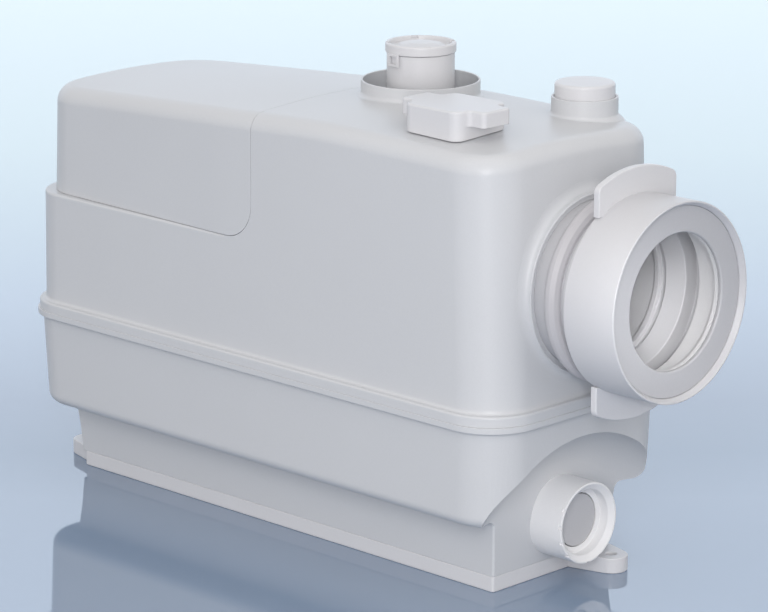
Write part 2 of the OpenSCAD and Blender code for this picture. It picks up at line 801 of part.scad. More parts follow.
module sleeve() {
    bore = neck_r - sleeve_wall - 1;
    x = drum_x;
    color("whitesmoke") {
        along_x(inlet_y, inlet_z) turned([[bore, neck_x], [neck_r - 1, neck_x], [neck_r, neck_x + 2], [neck_r, x - 5.5],
            [neck_r + 2.4, x - 5], [neck_r + 2.4, x - 2.5], [neck_r + 1, x - 2], [neck_r + 1, x],
            [drum_r - 1, x], [drum_r, x + 1], [drum_r, drum_end_x - 0.5], [drum_r - 0.5, drum_end_x],
            [drum_r - 1.8, drum_end_x], [drum_r - sleeve_wall, drum_end_x - 1.6],
            [drum_r - sleeve_wall, x + sleeve_wall], [bore, x + sleeve_wall],
            [bore - 3.5, x - 10], [bore, x - 10.5], [bore, x - 15], [bore - 2.5, x - 15.5],
            [bore - 2.5, x - 19], [bore, x - 19.5]]);
        for (s = [0, 1]) translate([lug_x, inlet_y, inlet_z]) rotate([0, 0, 90]) rotate([90, 0, 0]) mirror([0, s, 0])
            linear_extrude(lug_t) lug_shape();
    }
}

module sleeve_bead() {
    x = drum_x - bead_back;
    color("white") along_x(inlet_y, inlet_z) turned([[neck_r, x], [neck_r + 2.6, x + 0.2], [neck_r + 5, x + 1.6],
        [neck_r + 6.2, x + 3.8], [neck_r + 6.4, x + 5.2], [neck_r + 6, x + 7], [neck_r + 4.4, x + 9],
        [neck_r + 2, x + bead_w], [neck_r, x + bead_w]]);
}

module lip_seal() {
    r = drum_r - sleeve_wall - snug;
    face = drum_end_x - 3.5;
    liner = neck_r - 3;
    color("silver") along_x(inlet_y, inlet_z) turned([[lip_hole_r, face - 6], [lip_hole_r + 2, face - 6],
        [lip_hole_r + 3, face - 3], [liner, face - 3], [liner, drum_x + 12], [liner + 2, drum_x + 12],
        [liner + 2, face - 3], [r - 2.5, face - 3], [r - 2.5, face - 12], [r, face - 12],
        [r, face], [lip_hole_r, face]]);
}

module low_insert() {
    r = low_insert_r;
    m = low_mouth_x;
    color("whitesmoke") difference() {
        union() {
            along_x(low_y, low_z) turned([[low_chamber_r, low_inner_x], [r, low_inner_x], [r, low_tube_x],
                [low_r, low_tube_x], [low_r, m - 0.8], [low_r - 0.8, m], [r + 0.6, m],
                [low_bore_r, m - 2.4], [low_bore_r, low_seat_x + low_seat_t],
                [low_seat_r, low_seat_x + low_seat_t], [low_seat_r, low_seat_x], [low_chamber_r, low_seat_x]]);
            intersection() {
                along_x(low_y, low_z) rod(low_chamber_r + cut, low_seat_x - 5.5, low_seat_x + cut);
                for (s = [-1, 1]) translate([low_seat_x - 5.5, low_y + s * (hinge_half + slip + ear_w / 2) - ear_w / 2, low_pin_z - 2.6])
                    cube([5.5 + cut, ear_w, 9]);
            }
        }
        translate([low_pin_x, low_y, low_pin_z]) rotate([90, 0, 0])
            cylinder(r = hinge_pin_r + running, h = 30, center = true);
    }
}

// Flap disc with its hinge knuckle: the seat faces +X, the pin lies along Y
module hinged_flap(disc_r, drop, lift) {
    difference() {
        union() {
            translate([knuckle_r - flap_t, 0, -drop]) rotate([0, 90, 0]) cylinder(r = disc_r, h = flap_t);
            rotate([90, 0, 0]) cylinder(r = knuckle_r, h = 2 * hinge_half, center = true);
            translate([knuckle_r - flap_t, -hinge_half, -lift]) cube([flap_t, 2 * hinge_half, lift]);
        }
        rotate([90, 0, 0]) cylinder(r = hinge_pin_r + running, h = 4 * hinge_half, center = true);
    }
}

module hinge_pin() {
    rotate([90, 0, 0]) cylinder(r = hinge_pin_r, h = 2 * (hinge_half + slip + ear_w), center = true);
}

module low_flap() {
    notch = 2 * slip + ear_w;
    color("silver") {
        difference() {
            translate([low_pin_x, low_y, low_pin_z]) hinged_flap(low_flap_r, low_pin_z - low_z, 4);
            for (s = [-1, 1]) translate([low_pin_x - 5, low_y + s * (hinge_half + notch / 2) - notch / 2, low_pin_z - 4.6])
                cube([10, notch, 10]);
        }
        along_x(low_y, low_z) rod(low_seat_r - 0.7, low_seat_x - slip - cut, low_seat_x + low_seat_t - slip);
    }
}

module low_flap_pin() {
    color("silver") translate([low_pin_x, low_y, low_pin_z]) hinge_pin();
}

module valve_body() {
    color("gainsboro") at_outlet() difference() {
        union() {
            turned([[spigot_bore_r, valve_z], [spigot_r, valve_z], [spigot_r, seat_z - 5], [valve_r, seat_z - 3],
                [valve_r, valve_top], [tube_r + snug, valve_top], [tube_r + snug, tube_z], [chamber_r, tube_z],
                [chamber_r, seat_z], [valve_hole_r, seat_z], [valve_hole_r, seat_z - 3],
                [spigot_bore_r, seat_z - 5]]);
            for (s = [-1, 1]) translate([valve_pin_x - out_x - 2.2, s * (hinge_half + slip + ear_w / 2) - ear_w / 2, seat_z - cut])
                cube([4.4, ear_w, 2 * knuckle_r + slip + cut + 0.4]);
        }
        translate([valve_pin_x - out_x, 0, valve_pin_z]) rotate([90, 0, 0])
            cylinder(r = hinge_pin_r + running, h = 2 * (hinge_half + slip + ear_w) + 0.02, center = true);
    }
}

module valve_flap() {
    color("dimgray") translate([valve_pin_x, out_y, valve_pin_z]) rotate([0, 90, 0]) mirror([0, 0, 1])
        hinged_flap(flap_r, out_x - valve_pin_x, 4);
}

module valve_pin() {
    color("silver") translate([valve_pin_x, out_y, valve_pin_z]) hinge_pin();
}

module discharge_tube() {
    color("gainsboro") at_outlet() difference() {
        union() {
            rod(tube_r, tube_z, cap_z - slip);
            rotate([0, 0, -95.5]) translate([tube_r - 0.4, -1.6, cap_z - 5]) cube([0.4 + catch_h, 3.2, 2.6]);
        }
        rod(tube_r - tube_wall, tube_z - cut, cap_z + cut);
    }
}

// Blanking cap with finger notches round its rim, a low dome and a latch loop
module discharge_cap() {
    inner = tube_r - tube_wall - slip;
    color("gainsboro") at_outlet() difference() {
        union() {
            rod(cap_r, cap_z, cap_z + cap_h);
            rod(inner, cap_z - 11, cap_z + cut);
            rotate([0, 0, -95.5]) translate([tube_r + slip, -4.8, cap_z - 7]) cube([1.5, 9.6, 7 + cut]);
        }
        rod(inner - 2, cap_z - 12, cap_z + cap_h - 4);
        pipe(cap_r - 1.4, cap_r - 5, cap_z + cap_h - 2.6, cap_z + cap_h + cut);
        for (a = [-35:90:325]) rotate([0, 0, a])
            translate([cap_r - 5, -3, cap_z + cap_h - 2.6]) cube([6, 6, 4]);
        rotate([0, 0, -95.5]) translate([tube_r - cut, -3, cap_z - 5.4]) cube([4, 6, 4.6]);
    }
}

module discharge_grommet() {
    z = well_z - wall;
    r = tube_r + snug;
    color("dimgray") at_outlet() turned([[r, z - 2], [r + 4, z - 2], [r + 4, z], [r + 1.6, z],
        [r + 1.6, well_z], [r + 4, well_z], [r + 3, well_z + 2.5], [r, well_z + 3]]);
}

// Solid of radius r along the hose: out of the pump, round the bend and up to the valve
module hose_core(r, grow) {
    translate([spigot_end - 10 - grow, out_y, spigot_z]) rotate([0, 90, 0])
        cylinder(r = r, h = out_x - hose_bend - spigot_end + 10 + grow);
    translate([out_x - hose_bend, out_y, spigot_z + hose_bend]) rotate([90, 0, 0]) rotate([0, 0, -90])
        rotate_extrude(angle = 90) translate([hose_bend, 0]) circle(r);
    at_outlet() rod(r, spigot_z + hose_bend, hose_top + grow);
}

module discharge_hose() {
    color("dimgray") difference() {
        hose_core(hose_r + hose_wall, 0);
        hose_core(hose_r, cut);
    }
}

// Band clamp with its screw block
module band_clamp() {
    difference() {
        union() {
            cylinder(r = hose_r + hose_wall + 1.4, h = 7);
            translate([-4, hose_r + hose_wall, 0]) cube([8, 5, 7]);
        }
        translate([0, 0, -cut]) cylinder(r = hose_r + hose_wall + snug, h = 9);
    }
}

module hose_clamps() {
    color("silver") {
        translate([spigot_end - 8.5, out_y, spigot_z]) rotate([0, 90, 0]) rotate([0, 0, 180]) band_clamp();
        translate([out_x, out_y, hose_top - 9]) band_clamp();
    }
}

// Spiral outline of the pump chamber, widest where the flow leaves
module volute(off) {
    polygon([for (i = [0:47]) let (a = 7.5 * i, r = volute_r1 + off - (volute_r1 - volute_r0) * a / 360)
        [r * cos(90 + a), r * sin(90 + a)]]);
}

module casing_lugs(z0, z1) {
    casing_lug_places() rod(lug_boss_r, z0, z1);
    at_motor() for (a = [45:90:315]) rotate([0, 0, a])
        translate([volute_r0 - cut, -lug_boss_r, z0]) cube([lug_reach - volute_r0 + cut, 2 * lug_boss_r, z1 - z0]);
}

module pump_casing() {
    color("darkgray") difference() {
        union() {
            at_motor() translate([0, 0, casing_z]) linear_extrude(casing_h) volute(casing_wall);
            casing_lugs(casing_top - lug_h, casing_top);
            translate([motor_x, out_y, spigot_z]) rotate([0, 90, 0]) cylinder(r = spigot_r, h = spigot_end - motor_x);
        }
        at_motor() {
            translate([0, 0, casing_z + casing_t]) linear_extrude(casing_h) volute(0);
            rod(16, casing_z - cut, casing_z + casing_t + cut);
            shear_screw_places() rod(screw_r - snug, casing_z - cut, casing_z + 2.6);
        }
        translate([motor_x, out_y, spigot_z]) rotate([0, 90, 0])
            cylinder(r = spigot_bore_r, h = spigot_end - motor_x + cut);
        casing_lug_places() rod(screw_r + snug, casing_z, casing_top + cut);
    }
}

module casing_cover() {
    color("darkgray") difference() {
        union() {
            at_motor() rod(volute_r1 + casing_wall - 0.5, casing_top, tub_z);
            casing_lugs(casing_top, tub_z);
        }
        at_motor() {
            rod(shaft_r + 0.6, casing_top - cut, tub_z + cut);
            rod(seal_r, tub_z - seal_h, tub_z + cut);
        }
        casing_lug_places() rod(screw_r + snug, casing_top - cut, tub_z + cut);
    }
}

module casing_screws() {
    z = casing_top - lug_h;
    color("silver") casing_lug_places() {
        rod(3.4, z - 2.2, z);
        rod(screw_r - snug, z, tub_floor + 3.5);
    }
}

module shaft_seal() {
    color("dimgray") at_motor() turned([[shaft_r + running, tub_z - seal_h], [seal_r, tub_z - seal_h],
        [seal_r, tub_z], [shaft_r + 3, tub_z], [shaft_r + 3, tub_z - seal_h + 2.5],
        [shaft_r + running, tub_z - seal_h + 2.5]]);
}

// Backward-curved impeller vane: a slice of a thin ring that leaves the hub on a circle
module vane_shape() {
    bend_r = impeller_r * 0.62;
    intersection() {
        translate([0, -bend_r]) difference() {
            circle(bend_r + 1.1);
            circle(bend_r - 1.1);
        }
        circle(impeller_r);
        translate([0, -far / 2]) square([far, far]);
    }
}

module impeller() {
    z = casing_z + casing_t + 1.5;
    vane_h = casing_h - casing_t - 7;
    color("lightgray") at_motor() difference() {
        union() {
            translate([0, 0, z + vane_h]) cylinder(r = impeller_r, h = 3);
            rod(9, z, z + vane_h + 4);
            intersection() {
                translate([0, 0, z]) linear_extrude(vane_h + cut)
                    for (a = [0:vanes - 1]) rotate(360 * a / vanes) vane_shape();
                rod(impeller_r - 0.5, z, z + vane_h + 2);
            }
        }
        rod(shaft_r, z - cut, z + vane_h + 5);
    }
}

module shear_screw_places() {
    for (a = [0:120:240]) rotate([0, 0, a + 30]) translate([volute_r0 - 4.5, 0, 0]) children();
}

// Fixed plate under the pump with a ring of shear slots round the shaft
module shear_plate() {
    color("silver") at_motor() difference() {
        rod(volute_r0, shear_z, casing_z);
        rod(shaft_r + 0.6, shear_z - cut, casing_z + cut);
        for (a = [0:60:300]) rotate([0, 0, a]) {
            translate([11.5, 0, shear_z - cut]) cylinder(r = 3.2, h = shear_t + 2 * cut);
            translate([15.2, 0, shear_z - cut]) cylinder(r = 2.2, h = shear_t + 2 * cut);
        }
        shear_screw_places() rod(screw_r, shear_z - cut, casing_z + cut);
    }
}

// Rotating knife: swept blades with bevelled leading edges
module cutter() {
    color("silver") at_motor() difference() {
        union() {
            rod(9, cutter_z, cutter_z + cutter_h);
            for (i = [0:blades - 1]) rotate([0, 0, 360 * i / blades]) intersection() {
                translate([0, 0, cutter_z + cutter_h - 3.2]) linear_extrude(3.2)
                    polygon([[4, -7], [cutter_r - 6, -5], [cutter_r, 2], [cutter_r - 4, 6], [4, 6]]);
                rod(cutter_r, cutter_z, cutter_z + cutter_h);
            }
        }
        rod(shaft_r, cutter_z - cut, cutter_z + cutter_h + cut);
        for (i = [0:blades - 1]) rotate([0, 0, 360 * i / blades]) translate([10, -9, cutter_z + 1.2])
            rotate([-30, 0, 0]) cube([cutter_r, 4, 3]);
    }
}

module cutter_nut() {
    color("silver") at_motor() difference() {
        translate([0, 0, nut_z]) cylinder(r = 8.5, h = nut_h, $fn = 6);
        rod(shaft_r, nut_z - cut, nut_z + nut_h + cut);
    }
}

module motor_shaft() {
    color("silver") at_motor() {
        rod(shaft_r, nut_z - 1, shaft_step_z);
        rod(shaft_r + running / 2, shaft_step_z - cut, shaft_step_z);
        rod(journal_r, shaft_step_z + 3, shaft_top);
        rod(shaft_r, shaft_step_z, shaft_step_z + 3);
    }
}

module rotor_core() {
    color("lightslategray") at_motor() difference() {
        union() {
            rod(rotor_r, stack_z, stack_z + stack_h);
            rod(rotor_r - 2, stack_z - 5, stack_z + stack_h + 5);
            for (a = [0:45:315]) rotate([0, 0, a]) for (z = [stack_z - 9, stack_z + stack_h + 4])
                translate([rotor_r - 12, -1, z]) cube([9, 2, 5]);
        }
        rod(journal_r, stack_z - 10, stack_z + stack_h + 10);
    }
}

module stator() {
    bore = rotor_r + air_gap;
    color("slategray") at_motor() difference() {
        rod(motor_r - housing_wall - snug, stack_z, stack_z + stack_h);
        rod(bore, stack_z - cut, stack_z + stack_h + cut);
        for (a = [0:15:345]) rotate([0, 0, a]) {
            translate([bore - cut, -0.9, stack_z - cut]) cube([4, 1.8, stack_h + 2 * cut]);
            translate([bore + 5, 0, stack_z - cut]) cylinder(r = 2.3, h = stack_h + 2 * cut);
        }
    }
}

module windings() {
    r0 = rotor_r + 2.5;
    r1 = motor_r - housing_wall - 3;
    color("peru") at_motor() for (z = [stack_z - coil_h, stack_z + stack_h])
        turned([[r0, z + 3], [r0 + 3, z], [r1 - 3, z], [r1, z + 3], [r1, z + coil_h - 3], [r1 - 3, z + coil_h],
            [r0 + 3, z + coil_h], [r0, z + coil_h - 3]]);
}

module motor_base() {
    z = tub_floor;
    color("lightgray") at_motor() difference() {
        union() {
            rod(motor_r, z, z + base_disc_t);
            pipe(motor_r, motor_r - housing_wall, z, z + base_rim_h);
            rod(bearing_r + 3.5, z, z + base_disc_t + pocket_h);
            for (a = [0:45:315]) rotate([0, 0, a]) translate([bearing_r + 1, -1.2, z]) cube([motor_r - bearing_r - 2, 2.4, 8]);
        }
        rod(journal_r + 2, z - cut, z + base_disc_t + cut);
        rod(bearing_r, z + base_disc_t, z + base_disc_t + pocket_h + cut);
    }
}

module bearing(z) {
    at_motor() difference() {
        pipe(bearing_r - running, journal_r + running, z, z + bearing_h);
        pipe(12.6, 9.4, z + bearing_h - 0.6, z + bearing_h + cut);
        pipe(12.6, 9.4, z - cut, z + 0.6);
    }
}

module lower_bearing() {
    color("silver") bearing(tub_floor + base_disc_t);
}

module upper_bearing() {
    color("silver") bearing(upper_bearing_z);
}

module motor_housing() {
    color("gray") at_motor() {
        pipe(motor_r, motor_r - housing_wall, housing_z, housing_top);
        for (i = [0:motor_ribs - 1]) rotate([0, 0, 360 * i / motor_ribs])
            translate([motor_r - cut, -0.8, housing_z + 6]) cube([rib_h + cut, 1.6, housing_h - 12]);
    }
}

module motor_cap() {
    z = housing_top;
    boss = bearing_r + 3.5;
    color("gray") at_motor() difference() {
        turned([[0, z], [motor_r, z], [motor_r, z + cap_disc_t - 1], [motor_r - 1, z + cap_disc_t],
            [boss + 3, z + cap_disc_t], [boss, z + cap_disc_t + 4], [boss, z + cap_disc_t + pocket_h + 1],
            [boss - 2, z + cap_disc_t + pocket_h + 3], [0, z + cap_disc_t + pocket_h + 3]]);
        rod(bearing_r, z - cut, z + cap_disc_t + pocket_h);
    }
}

module capacitor() {
    top = tub_floor + capacitor_h;
    color("lightgray") translate([capacitor_x, 0, 0]) {
        rod(capacitor_r, tub_floor, top);
        rod(capacitor_r - 1.5, top, top + capacitor_lid);
        for (y = [-6, 6]) translate([-0.4, y - 3, top + cut]) cube([0.8, 6, 9]);
    }
}

module control_board() {
    relay = 18;
    translate([board_x - board_t, board_y, board_z]) {
        color("seagreen") cube([board_t, board_w, board_h]);
        color("dimgray") {
            translate([-15, 6, 10]) cube([15 + snug, relay, 20]);
            translate([-12, 4, 42]) cube([12 + snug, board_w - 8, 12]);
        }
    }
}

module air_bell() {
    color("gainsboro") translate([bell_x, bell_y, 0]) difference() {
        union() {
            rod(bell_r, sump_z + 6, tub_z - 5);
            rod(nipple_r, tub_z - 6, can_z);
        }
        rod(bell_r - 1.6, sump_z + 5, tub_z - 7);
        rod(1.5, tub_z - 8, can_z + cut);
    }
}

module pressure_can() {
    color("gainsboro") translate([bell_x, bell_y, 0]) difference() {
        rod(can_r, can_z, can_z + can_h);
        rod(can_r - 2.5, can_z + 2.5, can_z + can_h - 2.5);
        rod(1.5, can_z - cut, can_z + 3);
        rod(2.05, can_z + can_h - 3, can_z + can_h + cut);
    }
}

module switch_plunger() {
    color("dimgray") translate([bell_x, bell_y, 0]) {
        rod(can_r - 3.5, can_z + 2.5 + slip, can_z + 4);
        rod(2, can_z + 3, can_z + can_h + 2);
    }
}

module micro_switch() {
    z = can_z + can_h;
    color("dimgray") translate([bell_x, bell_y, z]) {
        translate([-4, -10, 2 + plunger_travel + slip]) cube([8, 20, 12]);
        for (y = [-10, 7]) translate([-4, y, 0]) cube([8, 3, 5]);
    }
}

// Keeps what lies above the crowned top at the vent, parted from it by the slip clearance
module above_crown() {
    difference() {
        children();
        translate([0, 0, vent_z]) rotate([-vent_slope_y, vent_slope_x, 0])
            translate([-far / 2, -far / 2, -far]) cube([far, far, far]);
    }
}

module vent_cap() {
    fillet = 5;
    low = vent_top - wing_h;
    color("gainsboro") translate([vent_x, vent_y, 0]) above_crown() difference() {
        union() {
            slab(vent_l, vent_w, 7, vent_z - 9, vent_top);
            slab(vent_l + 2 * wing_out, wing_w, 3, low, vent_top);
            for (x = [-1, 1], y = [-1, 1]) translate([0, 0, low]) linear_extrude(wing_h) difference() {
                translate([x > 0 ? vent_l / 2 - 1 : -vent_l / 2 - fillet, y > 0 ? wing_w / 2 - 1 : -wing_w / 2 - fillet])
                    square([fillet + 1, fillet + 1]);
                translate([x * (vent_l / 2 + fillet), y * (wing_w / 2 + fillet)]) circle(fillet);
            }
        }
        rod(vent_hole_r, vent_z - 10, vent_top - 3);
    }
}

module carbon_filter() {
    top = vent_top - 3;
    color("dimgray") translate([vent_x, vent_y, 0]) difference() {
        rod(vent_hole_r - snug, top_z - 26, top);
        rod(vent_hole_r - 3, top_z - 24, top - 3);
        for (a = [0:45:315], z = [top_z - 22, top_z - 18])
            translate([0, 0, z]) rotate([0, 90, a]) cylinder(r = 1.5, h = 20);
    }
}

module top_plug() {
    bore = stub_r - stub_wall;
    r = bore - slip;
    color("whitesmoke") translate([stub_x, stub_y, 0]) difference() {
        turned([[0, plug_z - 2.5], [r - 2.4, plug_z - 2.5], [r - 2.4, stub_seat_z + slip],
            [r, stub_seat_z + slip], [r, plug_z - 1], [r - 1, plug_z], [0, plug_z]]);
        pipe(r + cut, r - 1.3, stub_seat_z + 4, stub_seat_z + 6.6);
    }
}

module plug_ring() {
    bore = stub_r - stub_wall;
    color("dimgray") translate([stub_x, stub_y, 0])
        pipe(bore - 0.12, bore - slip - 1.2, stub_seat_z + 4.1, stub_seat_z + 6.5);
}

base_plate();
base_screws();
tank();
body_gasket();
hood();
motor_cover();
motor_tub();
tub_gasket();
tub_screws();
socket_ring();
socket_seal();
sleeve();
sleeve_bead();
lip_seal();
low_insert();
low_flap();
low_flap_pin();
vent_cap();
carbon_filter();
top_plug();
plug_ring();
discharge_tube();
discharge_cap();
discharge_grommet();
valve_body();
valve_flap();
valve_pin();
discharge_hose();
hose_clamps();
pump_casing();
casing_cover();
casing_screws();
shaft_seal();
impeller();
shear_plate();
cutter();
cutter_nut();
motor_shaft();
rotor_core();
stator();
windings();
motor_base();
motor_housing();
motor_cap();
lower_bearing();
upper_bearing();
capacitor();
control_board();
air_bell();
pressure_can();
switch_plunger();
micro_switch();
cable_gland();
gland_nut();
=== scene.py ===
import json
import math

import bmesh
import bpy
from mathutils import Matrix, Vector


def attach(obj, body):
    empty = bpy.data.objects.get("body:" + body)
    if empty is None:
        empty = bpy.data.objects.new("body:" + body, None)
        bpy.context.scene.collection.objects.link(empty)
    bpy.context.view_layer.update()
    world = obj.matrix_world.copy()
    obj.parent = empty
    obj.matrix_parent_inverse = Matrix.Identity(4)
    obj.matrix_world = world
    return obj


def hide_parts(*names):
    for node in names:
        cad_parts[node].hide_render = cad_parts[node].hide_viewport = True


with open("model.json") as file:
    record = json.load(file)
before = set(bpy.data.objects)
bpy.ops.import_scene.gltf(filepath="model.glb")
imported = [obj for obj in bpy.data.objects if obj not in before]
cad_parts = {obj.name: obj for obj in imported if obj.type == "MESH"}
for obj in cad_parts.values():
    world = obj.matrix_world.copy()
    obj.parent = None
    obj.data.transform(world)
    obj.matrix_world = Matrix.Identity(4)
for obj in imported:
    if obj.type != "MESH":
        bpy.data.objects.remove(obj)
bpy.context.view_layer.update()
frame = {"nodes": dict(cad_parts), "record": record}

MM = 0.001
scene = bpy.context.scene
scene.view_settings.view_transform = "Standard"

# Sizes of the part, in millimetres: those of part.scad, and a few more that only the looks need
FLANGE_L, FLANGE_W, FLANGE_PROUD, CORNER_R, WALL = 422.0, 164.5, 4.6, 30.0, 3.0
SEAM_Z, HOOD_LIP, TANK_LIP, LIP_STEP, LIP_EDGE_R, LIP_ROOT_R = 109.4, 6.4, 4.0, 0.4, 1.4, 1.8
TOP_Z, TOP_EDGE_R, WALL_DRAFT, END_LEAN = 271.5, 10.0, 1.4, 4.5
CROWN_X, CROWN_LEFT, CROWN_RIGHT, CROWN_SIDE = 60.0, 14.9, 3.6, 4.4
LEDGE_Z, LEDGE_DEPTH, COVER_LEAN = 187.5, 5.5, 1.0
SEAM_X, SEAM_TURN_R, SEAM_GAP = 5.0, 22.0, 0.3
SHELF_Z, TANK_DRAFT, TANK_PROUD, SHELF_EDGE_R = 45.6, 1.7, 1.1, 7.5
PLINTH_L, PLINTH_X, PLINTH_W, PLINTH_R, PLINTH_FLARE = 368.4, -1.2, 102.8, 1.5, 2.6
SHELF_FILLET_R = 4.5
ARCH_R, ARCH_Z = 95.0, -4.0
BASE_L, BASE_H, EAR_R, EAR_HOLE_D, EAR_REACH, EAR_Y = 365.6, 9.65, 10.0, 6.5, 20.4, 31.0
INLET_Z, INLET_Y, SOCKET_R, SOCKET_OUT, NECK_R = 183.0, 5.0, 54.0, 4.5, 50.0
DRUM_R, DRUM_L, SLEEVE_WALL, SLEEVE_STAND = 59.3, 38.0, 3.0, 29.0
LIP_HOLE_R, LUG_R, LUG_W, LUG_T, LUG_CORNER_R, LUG_ROOT = 40.5, 75.0, 68.0, 4.5, 5.0, 50.0
LEDGE_EDGE_R, LEDGE_T = 1.6, 4.0
LOW_Z, LOW_Y, LOW_R, LOW_REACH, LOW_BORE_R, FLAP_SEAT_R = 36.8, 3.0, 24.8, 23.9, 20.2, 16.6
OUT_X, OUT_Y, COLLAR_R, COLLAR_WALL, COLLAR_RISE, WELL_DEPTH = 50.0, 24.0, 36.5, 1.3, 8.5, 13.5
WELL_HOLE_R = 22.5
TUBE_R, TUBE_WALL, TUBE_FOOT_Z, CAP_RISE, CAP_H, CAP_R = 20.75, 2.45, 140, 25.5, 6.0, 21.7
STUB_X, STUB_Y, STUB_R, STUB_WALL, STUB_RISE, PLUG_RISE = 156.3, 54.5, 20.1, 1.6, 8.5, 8.5
VENT_X, VENT_Y, VENT_L, VENT_W, VENT_RISE = 136.0, -36.0, 44.0, 44.0, 14.5
WING_OUT, WING_H, WING_W, VENT_HOLE_R = 11.5, 9.5, 23.0, 15.0
VENT_FILLET_R, VENT_CORNER_R, WING_TIP_R = 3.4, 7.0, 3.0

HALF_L = FLANGE_L / 2 - FLANGE_PROUD
HALF_W = FLANGE_W / 2 - FLANGE_PROUD
LEDGE_X = SEAM_X - SEAM_TURN_R - 5
ARCH_X = PLINTH_X + PLINTH_L / 2 + PLINTH_FLARE
WALL_X = HALF_L - (WALL_DRAFT + END_LEAN) * (INLET_Z - SEAM_Z) / (TOP_Z - TOP_EDGE_R - SEAM_Z)
NECK_X = WALL_X - 40
SOCKET_END_X = WALL_X + SOCKET_OUT
DRUM_X = SOCKET_END_X + SLEEVE_STAND
DRUM_END_X = DRUM_X + DRUM_L
LOW_MOUTH_X = ARCH_X + LOW_REACH
COLLAR_Z = TOP_Z + COLLAR_RISE
WELL_Z = TOP_Z - WELL_DEPTH
CAP_Z = TOP_Z + CAP_RISE
STUB_Z = TOP_Z + STUB_RISE
PLUG_Z = STUB_Z + PLUG_RISE
VENT_TOP = TOP_Z + VENT_RISE

LOW_SEAT_X = LOW_MOUTH_X - 12
SLEEVE_BORE_R = NECK_R - SLEEVE_WALL - 1
BEAD_X = DRUM_X - 19.6
LIP_OUTER_R = DRUM_R - SLEEVE_WALL - 0.05
LIP_FACE_X = DRUM_END_X - 3.5
PLUG_R = STUB_R - STUB_WALL - 0.3

# Share of the wall's height, from the seam to the top's round edge, at which the ledge runs
LEDGE_SHARE = (LEDGE_Z - SEAM_Z) / (TOP_Z - TOP_EDGE_R - SEAM_Z)

# Reach of the cutters, in millimetres: right through the part, and from inside to outside of
# the end wall, the top and the wall under the arch
FAR = 200
END_CUT, TOP_CUT, LOW_CUT = (150, 260), (240, 300), (160, 230)

# Points of an outline: in each corner, along each long side, along each short side
ARC_N, LONG_N, SHORT_N = 14, 44, 18

# Edges sharper than this stay sharp, in degrees, on pieces and on the fillet bands
SHARP_ANGLE, BAND_ANGLE = 40, 50

# The photograph's view: turn and lift of the camera, its focal length in pixels, and
# how far right, up and back from the frame's origin it stands
TURN, LIFT = math.radians(44.52), math.radians(14.70)
FOCAL_PX, IMAGE_W = 3590.5, 768
CAMERA_RIGHT, CAMERA_UP, CAMERA_BACK = 0.0301, 0.1275, 2.27669
SENSOR_W = 36.0

# Level directions of that view
AWAY = Vector((-math.sin(TURN), math.cos(TURN), 0))
ACROSS = Vector((math.cos(TURN), math.sin(TURN), 0))


# Camera
def make_camera():
    """Sets the photograph's view."""
    back = Vector((math.sin(TURN) * math.cos(LIFT), -math.cos(TURN) * math.cos(LIFT), math.sin(LIFT)))
    up = back.cross(ACROSS)
    data = bpy.data.cameras.new("camera")
    data.sensor_width, data.sensor_fit = SENSOR_W, "HORIZONTAL"
    data.lens = FOCAL_PX / IMAGE_W * SENSOR_W
    data.clip_end = 20
    cam = bpy.data.objects.new("camera", data)
    scene.collection.objects.link(cam)
    pose = Matrix((ACROSS, up, back)).transposed().to_4x4()
    pose.translation = ACROSS * CAMERA_RIGHT + up * CAMERA_UP + back * CAMERA_BACK
    cam.matrix_world = pose
    scene.camera = cam


make_camera()


# Mesh tools
def crown_fall(x, y):
    """How far the crowned top lies under its highest point at (x, y)."""
    side = CROWN_SIDE * (y / HALF_W) ** 2
    if x < CROWN_X:
        return side + CROWN_LEFT * ((CROWN_X - x) / (HALF_L + CROWN_X)) ** 1.2
    return side + CROWN_RIGHT * ((x - CROWN_X) / (HALF_L - CROWN_X)) ** 2


def set_back(p, d):
    """Moves an outline's point inward by d at the left end, and less towards the ledge's end."""
    s = max(0.0, (LEDGE_X - p[0]) / (LEDGE_X + HALF_L))
    return (p[0] + d * s, p[1] * (1 - d * s / HALF_W))


def corner(cx, cy, r, a0):
    """Quarter arc round (cx, cy) from the angle a0, in degrees."""
    return [(cx + r * math.cos(math.radians(a0 + 90 * i / ARC_N)),
             cy + r * math.sin(math.radians(a0 + 90 * i / ARC_N))) for i in range(ARC_N + 1)]


def between(a, b, n):
    """Points that divide the line from a to b into n steps, without its ends."""
    return [(a[0] + (b[0] - a[0]) * i / n, a[1] + (b[1] - a[1]) * i / n) for i in range(1, n)]


def outline(hx, hy, r):
    """Round-cornered rectangle of half sizes hx and hy, always with the same number of points."""
    x, y = hx - r, hy - r
    return (corner(x, -y, r, -90) + between((hx, -y), (hx, y), SHORT_N)
            + corner(x, y, r, 0) + between((x, hy), (-x, hy), LONG_N)
            + corner(-x, y, r, 90) + between((-hx, y), (-hx, -y), SHORT_N)
            + corner(-x, -y, r, 180) + between((-x, -hy), (x, -hy), LONG_N))


def arc_steps(n):
    """Angles of a quarter turn in n steps."""
    return [math.radians(90 * i / n) for i in range(n + 1)]


def level(ring, z):
    """Ring at the height z."""
    return [(p[0], p[1], z) for p in ring]


def crowned(ring, drop):
    """Ring laid on the crowned top, or drop below it."""
    return [(p[0], p[1], TOP_Z - drop - crown_fall(p[0], p[1])) for p in ring]


def slid(ring, d):
    return [(p[0] + d, p[1]) for p in ring]


def moved(ring, d):
    """Ring with its left end set back by d."""
    return [set_back(p, d) for p in ring]


def shrunk(ring, s):
    return [(p[0] * s, p[1] * s) for p in ring]


def mix(a, b, t):
    """Ring at the share t of the way from ring a to ring b."""
    return [tuple(u + (v - u) * t for u, v in zip(p, q)) for p, q in zip(a, b)]


